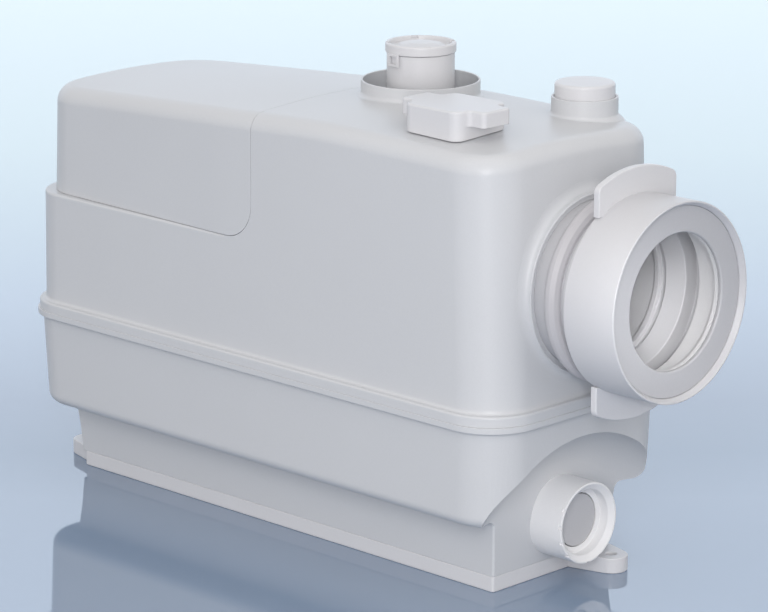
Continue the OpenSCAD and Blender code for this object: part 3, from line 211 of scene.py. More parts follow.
def to_object(name, verts, faces, smooth=SHARP_ANGLE):
    """Mesh from points in millimetres, smooth except at edges sharper than the angle smooth."""
    me = bpy.data.meshes.new(name)
    me.from_pydata([Vector(v) * MM for v in verts], [], faces)
    bm = bmesh.new()
    bm.from_mesh(me)
    bmesh.ops.recalc_face_normals(bm, faces=bm.faces)
    bm.to_mesh(me)
    bm.free()
    me.shade_smooth()
    me.set_sharp_from_angle(angle=math.radians(smooth))
    obj = bpy.data.objects.new(name, me)
    scene.collection.objects.link(obj)
    return obj


def side_faces(rows, n):
    """Quads between rows of n points each."""
    return [(i * n + j, i * n + (j + 1) % n, (i + 1) * n + (j + 1) % n, (i + 1) * n + j)
            for i in range(rows - 1) for j in range(n)]


def side_normals(shape):
    """Level normal at each point of a closed 2D shape, inward where it runs clockwise."""
    norms = []
    for i in range(len(shape)):
        a, b = Vector(shape[i - 1]), Vector(shape[(i + 1) % len(shape)])
        t = (b - a).normalized()
        norms.append(Vector((t.y, -t.x)))
    return norms


def loft(name, rings):
    """Closed skin over a stack of rings, its ends closed by fans."""
    n = len(rings[0])
    verts = [p for r in rings for p in r]
    faces = side_faces(len(rings), n)
    for ring, base in ((rings[0], 0), (rings[-1], (len(rings) - 1) * n)):
        verts.append(tuple(sum(p[a] for p in ring) / n for a in range(3)))
        c = len(verts) - 1
        for j in range(n):
            faces.append((base + j, base + (j + 1) % n, c))
    return to_object(name, verts, faces)


def rounded(points, steps=4):
    """Polyline of a closed profile, each (u, v, fillet) corner rounded by its fillet."""
    out = []
    n = len(points)
    for i, p in enumerate(points):
        u, v, f = p
        if f <= 0:
            out.append((u, v))
            continue
        a, b = points[i - 1], points[(i + 1) % n]
        va, vb = Vector((a[0] - u, a[1] - v)), Vector((b[0] - u, b[1] - v))
        la, lb = va.length, vb.length
        va.normalize()
        vb.normalize()
        half = va.angle(vb) / 2
        t = min(f / math.tan(half), la * 0.49, lb * 0.49)
        f = t * math.tan(half)
        c = Vector((u, v)) + (va + vb).normalized() * (f / math.sin(half))
        s, e = Vector((u, v)) + va * t - c, Vector((u, v)) + vb * t - c
        turn = math.atan2(s.x * e.y - s.y * e.x, s.dot(e))
        for k in range(steps + 1):
            g = turn * k / steps
            out.append((c.x + s.x * math.cos(g) - s.y * math.sin(g),
                        c.y + s.x * math.sin(g) + s.y * math.cos(g)))
    return out


def revolve(name, prof, axis, at, seg=144, solid=False, steps=4):
    """Turns (radius, distance, fillet) corners round the X or Z axis.

    A solid profile starts and ends on the axis; any other is a closed loop beside it.
    """
    pts = rounded(prof, steps)
    verts, faces = [], []

    def place(r, d, a):
        c, s = r * math.cos(a), r * math.sin(a)
        if axis == "X":
            return (d, at[0] + c, at[1] + s)
        return (at[0] + c, at[1] + s, d)

    if not solid:
        n = len(pts)
        for j in range(seg):
            verts += [place(r, d, 2 * math.pi * j / seg) for r, d in pts]
        for j in range(seg):
            k = (j + 1) % seg
            for i in range(n):
                m = (i + 1) % n
                faces.append((j * n + i, j * n + m, k * n + m, k * n + i))
    else:
        inner = pts[1:-1]
        n = len(inner)
        for j in range(seg):
            verts += [place(r, d, 2 * math.pi * j / seg) for r, d in inner]
        first, last = len(verts), len(verts) + 1
        verts += [place(0, pts[0][1], 0), place(0, pts[-1][1], 0)]
        for j in range(seg):
            k = (j + 1) % seg
            for i in range(n - 1):
                faces.append((j * n + i, j * n + i + 1, k * n + i + 1, k * n + i))
            faces.append((j * n, k * n, first))
            faces.append((j * n + n - 1, k * n + n - 1, last))
    return to_object(name, verts, faces)


def rod(r, low, high, axis, at):
    """Cutter for a round hole."""
    return revolve("hole", [(0, low, 0), (r, low, 0), (r, high, 0), (0, high, 0)], axis, at, solid=True)


def side_cutter(shape):
    """Straight solid over a closed shape in X and Z, right through the part along Y."""
    n = len(shape)
    verts = [(p[0], y, p[1]) for y in (-FAR, FAR) for p in shape]
    faces = [tuple(range(n)), tuple(range(n, 2 * n))]
    faces += [(j, (j + 1) % n, n + (j + 1) % n, n + j) for j in range(n)]
    return to_object("zone", verts, faces)


def ledge_region(room):
    """Side view of the ledge's board, with room above and below it."""
    left, right = -1.5 * FAR, LEDGE_X + 3
    return [(left, LEDGE_Z - room), (right, LEDGE_Z - room), (right, LEDGE_Z + room), (left, LEDGE_Z + room)]


def slab(name, shape, place, low, high, bevel):
    """Flat solid over a closed 2D shape, its edges rounded by bevel at both ends."""
    n, steps = len(shape), 3
    norms = side_normals(shape)
    area = sum(shape[i - 1][0] * shape[i][1] - shape[i][0] * shape[i - 1][1] for i in range(n))
    sign = 1 if area > 0 else -1
    path = [(bevel * (1 - math.sin(a)), low + bevel * (1 - math.cos(a))) for a in arc_steps(steps)]
    path += [(bevel * (1 - math.cos(a)), high - bevel * (1 - math.sin(a))) for a in arc_steps(steps)]
    verts = []
    for inset, d in path:
        verts += [place(p[0] - sign * m.x * inset, p[1] - sign * m.y * inset, d)
                  for p, m in zip(shape, norms)]
    faces = side_faces(len(path), n)
    faces += [tuple(range(n)), tuple(range((len(path) - 1) * n, len(path) * n))]
    return to_object(name, verts, faces)


def carve(obj, other, how="DIFFERENCE"):
    """Boolean of two objects; the second one is used up."""
    mod = obj.modifiers.new("carve", "BOOLEAN")
    mod.operation, mod.solver, mod.object = how, "EXACT", other
    dg = bpy.context.evaluated_depsgraph_get()
    dg.update()
    me = bpy.data.meshes.new_from_object(obj.evaluated_get(dg))
    obj.modifiers.clear()
    old = obj.data
    obj.data = me
    me.name = obj.name
    bpy.data.meshes.remove(old)
    bpy.data.objects.remove(other)
    me.shade_smooth()
    me.set_sharp_from_angle(angle=math.radians(SHARP_ANGLE))
    return obj


def even_normals(obj):
    """Weights the normals by face area, so that flats stay flat beside small roundings."""
    mod = obj.modifiers.new("normals", "WEIGHTED_NORMAL")
    mod.mode, mod.weight, mod.keep_sharp = "FACE_AREA_WITH_ANGLE", 60, True


def top_surface(x, y):
    """Height of the upper shell's skin over (x, y), its rounded edge included."""
    middle = -END_LEAN / 2
    ex = max(0.0, abs(x - middle) - (HALF_L - WALL_DRAFT - END_LEAN / 2 - CORNER_R))
    ey = max(0.0, abs(y) - (HALF_W - WALL_DRAFT - CORNER_R))
    q = math.hypot(ex, ey) - (CORNER_R - TOP_EDGE_R)
    fall = TOP_EDGE_R - math.sqrt(max(0.0, TOP_EDGE_R ** 2 - q * q)) if q > 0 else 0.0
    return TOP_Z - crown_fall(x, y) - fall


def end_surface(y, z):
    """Distance of the leaning end wall along X at (y, z), its round corners included."""
    t = (z - SEAM_Z) / (TOP_Z - TOP_EDGE_R - SEAM_Z)
    over = abs(y) - (HALF_W - WALL_DRAFT * t - CORNER_R)
    turn = CORNER_R - math.sqrt(CORNER_R ** 2 - over * over) if over > 0 else 0.0
    return HALF_L - (WALL_DRAFT + END_LEAN) * t - turn


def fillet_band(name, centre, r, reach, rise, surface, axis):
    """Concave fillet between a round wall of radius r and the skin it stands on."""
    seg, steps = 160, 8
    prof = [(reach * (1 - math.sin(a)), rise * (1 - math.cos(a))) for a in arc_steps(steps)]
    prof += [(-0.5, rise), (-0.5, -1.0), (reach * 0.5, -1.0), (reach, -0.4)]
    n = len(prof)
    verts, faces = [], []
    for j in range(seg):
        g = 2 * math.pi * j / seg
        for out, lift in prof:
            on_skin = r + max(out, 0)
            a, b = centre[0] + (r + out) * math.cos(g), centre[1] + (r + out) * math.sin(g)
            base = surface(centre[0] + on_skin * math.cos(g), centre[1] + on_skin * math.sin(g))
            verts.append((a, b, base + lift) if axis == "Z" else (base + lift, a, b))
    for j in range(seg):
        k = (j + 1) % seg
        for i in range(n):
            m = (i + 1) % n
            faces.append((j * n + i, j * n + m, k * n + m, k * n + i))
    return to_object(name, verts, faces, BAND_ANGLE)


# Materials
def plastic(name, tone, rough, grain=0.03, blotch=0.02, bump=0.06, scale=900.0):
    """Moulded surface: slow change of tone and gloss, with a fine grain of the given scale."""
    m = bpy.data.materials.new(name)
    m.use_nodes = True
    nt = m.node_tree
    bsdf = nt.nodes["Principled BSDF"]
    bsdf.inputs["IOR"].default_value = 1.46
    pos = nt.nodes.new("ShaderNodeTexCoord")
    big = nt.nodes.new("ShaderNodeTexNoise")
    big.inputs["Scale"].default_value = 9.0
    big.inputs["Detail"].default_value = 3.0
    fine = nt.nodes.new("ShaderNodeTexNoise")
    fine.inputs["Scale"].default_value = scale
    fine.inputs["Detail"].default_value = 2.0
    nt.links.new(pos.outputs["Object"], big.inputs["Vector"])
    nt.links.new(pos.outputs["Object"], fine.inputs["Vector"])
    ramp = nt.nodes.new("ShaderNodeMix")
    ramp.data_type = "RGBA"
    ramp.inputs["A"].default_value = (*[c * (1 - blotch) for c in tone], 1)
    ramp.inputs["B"].default_value = (*[min(1, c * (1 + blotch)) for c in tone], 1)
    nt.links.new(big.outputs["Fac"], ramp.inputs["Factor"])
    speck = nt.nodes.new("ShaderNodeMix")
    speck.data_type, speck.blend_type = "RGBA", "MULTIPLY"
    speck.inputs["Factor"].default_value = 1.0
    tint = nt.nodes.new("ShaderNodeMapRange")
    tint.inputs["To Min"].default_value = 1 - grain
    tint.inputs["To Max"].default_value = 1 + grain * 0.5
    nt.links.new(fine.outputs["Fac"], tint.inputs["Value"])
    nt.links.new(ramp.outputs["Result"], speck.inputs["A"])
    nt.links.new(tint.outputs["Result"], speck.inputs["B"])
    nt.links.new(speck.outputs["Result"], bsdf.inputs["Base Color"])
    gloss = nt.nodes.new("ShaderNodeMapRange")
    gloss.inputs["To Min"].default_value = rough - 0.05
    gloss.inputs["To Max"].default_value = rough + 0.06
    nt.links.new(big.outputs["Fac"], gloss.inputs["Value"])
    nt.links.new(gloss.outputs["Result"], bsdf.inputs["Roughness"])
    bp = nt.nodes.new("ShaderNodeBump")
    bp.inputs["Strength"].default_value = bump
    bp.inputs["Distance"].default_value = 0.0004
    nt.links.new(fine.outputs["Fac"], bp.inputs["Height"])
    nt.links.new(bp.outputs["Normal"], bsdf.inputs["Normal"])
    return m


def metal(name, tone, rough):
    """Plastic's surface turned metallic, with a coarser grain."""
    m = plastic(name, tone, rough, 0.06, 0.04, 0.08, scale=300.0)
    m.node_tree.nodes["Principled BSDF"].inputs["Metallic"].default_value = 1.0
    return m


shell_mat = plastic("shell_plastic", (0.60, 0.61, 0.63), 0.36)
white_mat = plastic("white_insert", (0.80, 0.80, 0.81), 0.36)
pale_mat = plastic("pale_plastic", (0.66, 0.66, 0.68), 0.33)
sleeve_mat = plastic("sleeve_plastic", (0.60, 0.60, 0.62), 0.38)
lip_mat = plastic("soft_lip", (0.50, 0.50, 0.52), 0.48, grain=0.05)
# Darker grey for the band over the sleeve's neck: painted shade, not a different plastic
neck_shade_mat = plastic("neck_painted_shade", (0.50, 0.50, 0.52), 0.4)
bead_mat = plastic("bead_rubber", (0.51, 0.50, 0.52), 0.45)
black_mat = plastic("black_rubber", (0.025, 0.025, 0.028), 0.62, grain=0.2, bump=0.2)
inner_mat = plastic("inner_plastic", (0.55, 0.56, 0.57), 0.45)
dark_mat = plastic("dark_plastic", (0.05, 0.05, 0.055), 0.42)
carbon_mat = plastic("carbon_grain", (0.03, 0.03, 0.03), 0.8, grain=0.4, bump=0.6, scale=400.0)
board_mat = plastic("board_green", (0.04, 0.16, 0.08), 0.45)
copper_mat = metal("winding_copper", (0.72, 0.36, 0.18), 0.35)
steel_mat = metal("turned_steel", (0.60, 0.60, 0.61), 0.28)
sheet_mat = metal("lamination_steel", (0.40, 0.40, 0.42), 0.4)
alu_mat = metal("cast_aluminium", (0.62, 0.63, 0.64), 0.45)

SLOT_MATERIALS = {
    "white_plastic": shell_mat, "seal_rubber": lip_mat, "black_rubber": black_mat,
    "inner_plastic": inner_mat, "dark_plastic": dark_mat, "steel": steel_mat,
    "lamination": sheet_mat, "copper": copper_mat, "cast_aluminium": alu_mat,
    "carbon": carbon_mat, "board": board_mat,
}
for part in frame["record"]["subparts"]:
    node = frame["nodes"][part["node"]]
    mat = SLOT_MATERIALS[part["material_slot"]]
    if node.material_slots:
        for s in node.material_slots:
            s.material = mat
    else:
        node.data.materials.append(mat)


def dress(obj, mat, body, slot, *nodes):
    """Gives a piece its material and body, and hides the CAD nodes that it stands for."""
    obj.data.materials.clear()
    obj.data.materials.append(mat)
    even_normals(obj)
    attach(obj, body)
    if nodes:
        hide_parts(*nodes)
    return obj


# Upper shell
def shell_rings(off, low, high, lip):
    """Rings of the upper shell from the seam to the middle of the top.

    off is the distance inside the outer skin, low and high how far the left end is set back
    at the ledge and above it, and lip says whether the seam's flange belongs to it.
    """
    hx, hy, r = HALF_L - off, HALF_W - off, CORNER_R - off
    e = TOP_EDGE_R - off / 2
    c = -END_LEAN / 2
    tx, ty = hx - WALL_DRAFT + c, hy - WALL_DRAFT
    foot = level(outline(hx, hy, r), SEAM_Z if lip else SEAM_Z - 1)
    brow = crowned(slid(outline(tx, ty, r), c), e + off)

    def pushed(ring, d):
        return [(*set_back(p, d), p[2]) for p in ring]

    rings = []
    if lip:
        out, top = FLANGE_PROUD - LIP_STEP, SEAM_Z + HOOD_LIP
        path = [(out - 0.2, SEAM_Z), (out - 0.06, SEAM_Z + 0.06), (out, SEAM_Z + 0.2)]
        path += [(out - LIP_EDGE_R * (1 - math.cos(a)), top - LIP_EDGE_R * (1 - math.sin(a)))
                 for a in arc_steps(5)]
        path += [(LIP_ROOT_R * (1 - math.sin(a)), top + LIP_ROOT_R * (1 - math.cos(a)))
                 for a in arc_steps(5)]
        rings += [level(outline(hx + o, hy + o, r + o), z) for o, z in path]
        start = (path[-1][1] - SEAM_Z) / (brow[0][2] - SEAM_Z)
        rings.append(mix(foot, brow, start + 0.01))
    else:
        rings.append(pushed(foot, low))
    steps, flange_share = 14, 0.08
    for i in range(1, steps):
        t = i / steps
        if not lip or t > flange_share:
            lean = max(0.0, (t - LEDGE_SHARE) / (1 - LEDGE_SHARE))
            rings.append(pushed(mix(foot, brow, t), low + (high - low) * lean))
    for a in arc_steps(12):
        q = e * (1 - math.cos(a))
        edge = moved(slid(outline(tx - q, ty - q, r - q), c), high)
        rings.append(crowned(edge, e * (1 - math.sin(a)) + off))
    top = slid(outline(tx - e, ty - e, r - e), c)
    for s in [0.985, 0.96, 0.92, 0.86, 0.78, 0.69, 0.6, 0.51, 0.42, 0.33, 0.24, 0.15, 0.07, 0.02]:
        rings.append(crowned(shrunk(moved(top, high), s), off))
    return rings


def zone_shape(gap, low):
    """Side view of the motor cover's region."""
    far = 2.0 * FAR
    cx = SEAM_X - SEAM_TURN_R
    cz = LEDGE_Z + SEAM_TURN_R
    r = SEAM_TURN_R - gap
    pts = [(cx - far, low)]
    pts += [(cx + r * math.sin(a), cz - r * math.cos(a) + (low - LEDGE_Z) * math.cos(a))
            for a in arc_steps(20)]
    pts += [(cx + r, far), (cx - far, far)]
    return pts


def ledge_board():
    """Board that closes the step between the set-back cover and the wall, its outer edge rounded."""
    path = [(0.0, LEDGE_Z - LEDGE_T), (0.0, LEDGE_Z - LEDGE_EDGE_R - 0.6)]
    path += [(LEDGE_EDGE_R * (1 - math.cos(a)), LEDGE_Z - LEDGE_EDGE_R * (1 - math.sin(a)))
             for a in arc_steps(7)]
    rings = []
    for inset, z in path:
        low = outline(HALF_L - inset, HALF_W - inset, CORNER_R - inset)
        high = slid(outline(HALF_L - inset - WALL_DRAFT - END_LEAN / 2, HALF_W - inset - WALL_DRAFT,
                            CORNER_R - inset), -END_LEAN / 2)
        rings.append(level(mix(low, high, LEDGE_SHARE), z))
    board = loft("ledge_board", rings)
    room, above = LEDGE_DEPTH + COVER_LEAN + WALL + 2, 10
    carve(board, loft("inner", [level(outline(HALF_L - room, HALF_W - room, CORNER_R - room), z)
                                for z in (LEDGE_Z - above, LEDGE_Z + above)]))
    return carve(board, side_cutter(ledge_region(above)), "INTERSECT")


# Hood with its openings, and the ledge under the motor cover
hood = loft("hood_skin", shell_rings(0, 0, 0, True))
carve(hood, loft("inner", shell_rings(WALL, 0, 0, False)))
carve(hood, side_cutter(zone_shape(0, LEDGE_Z)))
carve(hood, side_cutter(ledge_region(LEDGE_T)))
carve(hood, rod(SOCKET_R - 0.2, *END_CUT, "X", (INLET_Y, INLET_Z)))
for hole_x, hole_y, hole_r in ((OUT_X, OUT_Y, COLLAR_R - 0.3), (STUB_X, STUB_Y, STUB_R - 0.3),
                               (VENT_X, VENT_Y, VENT_HOLE_R + 0.3)):
    carve(hood, rod(hole_r, *TOP_CUT, "Z", (hole_x, hole_y)))
dress(hood, shell_mat, "body", "white_plastic", "hood")
dress(ledge_board(), shell_mat, "body", "white_plastic")

# Motor cover
cover = loft("motor_cover_skin", shell_rings(0, LEDGE_DEPTH, LEDGE_DEPTH + COVER_LEAN, False))
carve(cover, loft("inner", shell_rings(WALL, LEDGE_DEPTH, LEDGE_DEPTH + COVER_LEAN, False)))
carve(cover, side_cutter(zone_shape(SEAM_GAP, LEDGE_Z + 0.05)), "INTERSECT")
dress(cover, shell_mat, "body", "white_plastic", "motor_cover")


# Tank
def tank_rings(off, low, high, lip):
    """Rings of the lower shell from the plinth's foot up to the seam, off inside the outer skin."""
    px, py, pr = PLINTH_L / 2 - off, PLINTH_W / 2 - off, max(PLINTH_R - off, 1.0)
    sx, sy, r = HALF_L + TANK_PROUD - off, HALF_W + TANK_PROUD - off, CORNER_R - TANK_PROUD - off
    lx, ly, e = sx - TANK_DRAFT, sy - TANK_DRAFT, SHELF_EDGE_R
    rings = [level(slid(outline(px - 0.4, py - 0.4, pr), PLINTH_X), low),
             level(slid(outline(px, py, pr), PLINTH_X), low + 0.4),
             level(slid(outline(px + PLINTH_FLARE * 0.45, py + PLINTH_FLARE * 0.45, pr), PLINTH_X),
                   (low + SHELF_Z) / 2),
             level(slid(outline(px + PLINTH_FLARE, py + PLINTH_FLARE, pr), PLINTH_X),
                   SHELF_Z + off - SHELF_FILLET_R)]
    for a in arc_steps(8)[1:]:
        q = SHELF_FILLET_R * (1 - math.cos(a))
        rings.append(level(slid(outline(px + PLINTH_FLARE + q, py + PLINTH_FLARE + q, pr + q), PLINTH_X),
                           SHELF_Z + off - SHELF_FILLET_R * (1 - math.sin(a))))
    for a in arc_steps(10):
        q = e * (1 - math.sin(a))
        rings.append(level(outline(lx - q, ly - q, r - q), SHELF_Z + off + e * (1 - math.cos(a))))
    if not lip:
        return rings + [level(outline(sx, sy, r), high)]
    out, foot = FLANGE_PROUD - TANK_PROUD, SEAM_Z - TANK_LIP
    path = [(1.2 * (1 - math.cos(a)), foot - 1.2 * (1 - math.sin(a))) for a in arc_steps(4)]
    path += [(out - 0.8 * (1 - math.sin(a)), foot + 0.8 * (1 - math.cos(a))) for a in arc_steps(4)]
    path += [(out - 0.25 * (1 - math.cos(a)), SEAM_Z - 0.25 * (1 - math.sin(a))) for a in arc_steps(4)]
    return rings + [level(outline(sx + o, sy + o, r + o), z) for o, z in path]


def arch_cutter(off):
    """Round recess of the WC end, coved where it meets the plinth's end wall."""
    cove = HALF_L + TANK_PROUD - ARCH_X
    prof = [(0, ARCH_X - off, 0), (ARCH_R - cove, ARCH_X - off, 0)]
    prof += [(ARCH_R - cove + (cove + off) * math.sin(a), ARCH_X + cove - (cove + off) * math.cos(a), 0)
             for a in arc_steps(16)]
    prof += [(ARCH_R + off, 400, 0), (0, 400, 0)]
    return revolve("arch", prof, "X", (0, ARCH_Z), seg=256, solid=True)


# Tank, hollow, with the arch and the low socket's opening
tank = loft("tank_skin", tank_rings(0, BASE_H, SEAM_Z, True))
carve(tank, arch_cutter(0))
inner = loft("inner", tank_rings(WALL, BASE_H + WALL, SEAM_Z + 1, False))
carve(inner, arch_cutter(WALL))
carve(tank, inner)
carve(tank, rod(LOW_BORE_R + 2.1, *LOW_CUT, "X", (LOW_Y, LOW_Z)))
dress(tank, shell_mat, "body", "white_plastic", "tank")


def base_slab():
    """Plate under the plinth, rounded along both edges."""
    path = [(0.8 * (1 - math.sin(a)), 0.8 * (1 - math.cos(a))) for a in arc_steps(4)]
    path += [(0.5 * (1 - math.cos(a)), BASE_H - 0.5 * (1 - math.sin(a))) for a in arc_steps(4)]
    return loft("base_slab", [level(outline(BASE_L / 2 - q, PLINTH_W / 2 - q, PLINTH_R), z)
                              for q, z in path])


def ear_shape():
    """Ear and its widening root, seen from above, with the ear's hole as the origin."""
    root, start = EAR_REACH + 1, math.radians(75)
    pts = [(-root, -EAR_R - 6)]
    pts += [(EAR_R * math.cos(g), EAR_R * math.sin(g)) for g in
            [-start + 2 * start * k / 28 for k in range(29)]]
    return pts + [(-root, EAR_R + 6)]


# Base plate with its two fixing ears
base = base_slab()
for side in (1, -1):
    ear = slab("ear", ear_shape(),
               lambda u, v, d, s=side: (s * (BASE_L / 2 + EAR_REACH + u), s * (EAR_Y + v), d),
               0, BASE_H, 0.7)
    hole = revolve("hole", [(0, -1, 0), (EAR_HOLE_D / 2, -1, 0), (EAR_HOLE_D / 2, BASE_H - 0.5, 0),
                            (EAR_HOLE_D / 2 + 0.6, BASE_H + 0.1, 0), (0, BASE_H + 1, 0)], "Z",
                   (side * (BASE_L / 2 + EAR_REACH), side * EAR_Y), seg=48, solid=True)
    carve(ear, hole)
    carve(base, ear, "UNION")
dress(base, pale_mat, "body", "white_plastic", "base_plate")

# Low socket: outer tube with the insert's chamfered mouth
low_tube = revolve("low_socket", [
    (LOW_R, ARCH_X - 3, 0), (LOW_R, LOW_MOUTH_X - 2.3, 0.15),
    (LOW_BORE_R + 2.1, LOW_MOUTH_X - 2.3, 0.1), (LOW_BORE_R + 2.1, ARCH_X - 3, 0)], "X", (LOW_Y, LOW_Z))
dress(low_tube, white_mat, "body", "white_plastic")
insert = revolve("low_insert_ring", [
    (LOW_BORE_R + 0.5, LOW_SEAT_X - 21, 0.3), (LOW_BORE_R + 2, LOW_SEAT_X - 21, 0.3),
    (LOW_BORE_R + 2, LOW_MOUTH_X - 2.25, 0), (LOW_R, LOW_MOUTH_X - 2.25, 0.15), (LOW_R, LOW_MOUTH_X, 0.6),
    (LOW_BORE_R + 3.4, LOW_MOUTH_X, 0.4), (LOW_BORE_R, LOW_MOUTH_X - 2.8, 0.8),
    (LOW_BORE_R, LOW_SEAT_X + 3, 0.2), (FLAP_SEAT_R, LOW_SEAT_X + 3, 0.4), (FLAP_SEAT_R, LOW_SEAT_X, 0.3),
    (LOW_BORE_R + 0.5, LOW_SEAT_X, 0.3)], "X", (LOW_Y, LOW_Z))
for k in range(7):
    g = math.radians(150 + 24 * k)
    c, n = math.cos(g), math.sin(g)
    carve(insert, slab("clip_slot", [(-1.1, -1.6), (1.1, -1.6), (1.1, 1.6), (-1.1, 1.6)],
                       lambda u, v, d: (LOW_MOUTH_X - 0.6 + v, LOW_Y + c * d - n * u, LOW_Z + n * d + c * u),
                       LOW_R - 0.8, LOW_R + 1, 0.2))
dress(insert, white_mat, "body", "white_plastic", "low_insert")

# Toilet inlet

# Socket ring in the end wall, with the fillet at its foot
ring = revolve("socket_collar", [
    (NECK_R + 0.15, WALL_X - 20, 0.3), (SOCKET_R, WALL_X - 20, 0.3), (SOCKET_R, WALL_X - 9, 0),
    (SOCKET_R + 4, WALL_X - 9, 0), (SOCKET_R + 4, WALL_X - 6, 0), (SOCKET_R, WALL_X - 6, 0),
    (SOCKET_R, SOCKET_END_X, 0.7), (SOCKET_R - 1.4, SOCKET_END_X, 0.4),
    (SOCKET_R - 1.6, SOCKET_END_X - 0.7, 0.2), (NECK_R + 0.15, SOCKET_END_X - 0.8, 0.1)],
    "X", (INLET_Y, INLET_Z))
dress(ring, shell_mat, "body", "white_plastic", "socket_ring")
skirt = fillet_band("socket_skirt", (INLET_Y, INLET_Z), SOCKET_R, 6.0, 3.6, end_surface, "X")
dress(skirt, shell_mat, "body", "white_plastic")

# Sliding sleeve: neck, drum and the ridges of its bore
sleeve = revolve("pan_sleeve", [
    (SLEEVE_BORE_R, NECK_X, 0.4), (NECK_R, NECK_X, 1.6), (NECK_R, DRUM_X - 5.5, 0.5),
    (NECK_R + 2.4, DRUM_X - 5, 0.6), (NECK_R + 2.4, DRUM_X - 2.5, 0.6), (NECK_R + 1, DRUM_X - 2, 0.4),
    (NECK_R + 1, DRUM_X, 0.3), (DRUM_R, DRUM_X, 1.4), (DRUM_R, DRUM_END_X, 0.7),
    (DRUM_R - 1.1, DRUM_END_X, 0.3), (DRUM_R - SLEEVE_WALL, DRUM_END_X - 3.0, 0.3),
    (DRUM_R - SLEEVE_WALL, DRUM_X + SLEEVE_WALL, 0.6), (SLEEVE_BORE_R, DRUM_X + SLEEVE_WALL, 0.8),
    (SLEEVE_BORE_R - 3.5, DRUM_X - 10, 0.8), (SLEEVE_BORE_R, DRUM_X - 10.5, 0.5),
    (SLEEVE_BORE_R, DRUM_X - 15, 0.5), (SLEEVE_BORE_R - 2.5, DRUM_X - 15.5, 0.6),
    (SLEEVE_BORE_R - 2.5, DRUM_X - 19, 0.6), (SLEEVE_BORE_R, DRUM_X - 19.5, 0.5)],
    "X", (INLET_Y, INLET_Z), seg=192)
dress(sleeve, sleeve_mat, "wc_sleeve", "white_plastic", "sleeve")
# Thin darker band over the sleeve's neck: painted shade where the socket ring and the bead shade the neck
neck_shade_band = revolve("neck_shade_band", [
    (NECK_R - 0.5, NECK_X + 2, 0), (NECK_R + 0.05, NECK_X + 2, 0), (NECK_R + 0.05, DRUM_X - 8, 0),
    (NECK_R - 0.5, DRUM_X - 8, 0)], "X", (INLET_Y, INLET_Z), seg=192)
dress(neck_shade_band, neck_shade_mat, "wc_sleeve", "white_plastic")


def lug_outline():
    """Grip lug seen along the sleeve's axis: a round-cornered crescent on the drum."""
    r, root, sunk_r = LUG_CORNER_R, LUG_ROOT, DRUM_R * 0.985
    a = math.asin((LUG_W / 2 - r) / (LUG_R - r))
    pts = [(LUG_W / 2, root)]
    cx, cy = (LUG_R - r) * math.sin(a), (LUG_R - r) * math.cos(a)
    for k in range(9):
        g = (math.pi / 2 - a) * k / 8
        pts.append((cx + r * math.cos(g), cy + r * math.sin(g)))
    for k in range(1, 40):
        g = a - 2 * a * k / 40
        pts.append((LUG_R * math.sin(g), LUG_R * math.cos(g)))
    for k in range(9):
        g = math.pi / 2 + a + (math.pi / 2 - a) * k / 8
        pts.append((-cx + r * math.cos(g), cy + r * math.sin(g)))
    pts.append((-LUG_W / 2, root))
    for k in range(1, 24):
        t = math.radians(-34 + 68 * k / 24)
        pts.append((sunk_r * math.sin(t), sunk_r * math.cos(t)))
    return pts


for label, s in (("lug_upper", 1), ("lug_lower", -1)):
    lug = slab(label, lug_outline(), lambda u, v, d, s=s: (d, INLET_Y + u, INLET_Z + s * v),
               DRUM_X, DRUM_X + LUG_T, 0.8)
    dress(lug, pale_mat, "wc_sleeve", "white_plastic")

# Bead ring on the neck
bead = revolve("sleeve_bead_ring", [
    (NECK_R, BEAD_X, 0), (NECK_R + 2.6, BEAD_X, 0.4), (NECK_R + 5, BEAD_X + 1.6, 1.2),
    (NECK_R + 6.3, BEAD_X + 4.0, 1.6), (NECK_R + 6.3, BEAD_X + 6.4, 1.6), (NECK_R + 4.4, BEAD_X + 9, 1.2),
    (NECK_R + 2, BEAD_X + 10.2, 0.6), (NECK_R, BEAD_X + 10.2, 0)], "X", (INLET_Y, INLET_Z), seg=192)
dress(bead, bead_mat, "wc_sleeve", "seal_rubber", "sleeve_bead")

# Lip seal in the drum's mouth, with the pale liner behind it
lip = revolve("pan_lip", [
    (LIP_HOLE_R, LIP_FACE_X - 3, 0.8), (LIP_OUTER_R - 2.5, LIP_FACE_X - 3, 0.3),
    (LIP_OUTER_R - 2.5, LIP_FACE_X - 12, 0.5), (LIP_OUTER_R, LIP_FACE_X - 12, 0.5),
    (LIP_OUTER_R, LIP_FACE_X, 0.6), (LIP_HOLE_R, LIP_FACE_X, 1.2)], "X", (INLET_Y, INLET_Z), seg=192)
dress(lip, lip_mat, "wc_sleeve", "seal_rubber", "lip_seal")
liner = revolve("pan_liner", [
    (LIP_HOLE_R, LIP_FACE_X - 6, 0.8), (LIP_HOLE_R + 2, LIP_FACE_X - 6, 0.8),
    (LIP_HOLE_R + 3, LIP_FACE_X - 3.1, 0.3), (NECK_R - 3, LIP_FACE_X - 3.1, 0.3),
    (NECK_R - 3, DRUM_X + 12, 0.5), (NECK_R - 1, DRUM_X + 12, 0.5), (NECK_R - 1, LIP_FACE_X - 2.9, 0.3),
    (LIP_HOLE_R + 0.1, LIP_FACE_X - 2.9, 0.1)], "X", (INLET_Y, INLET_Z), seg=192)
dress(liner, white_mat, "wc_sleeve", "seal_rubber")

# Top fittings

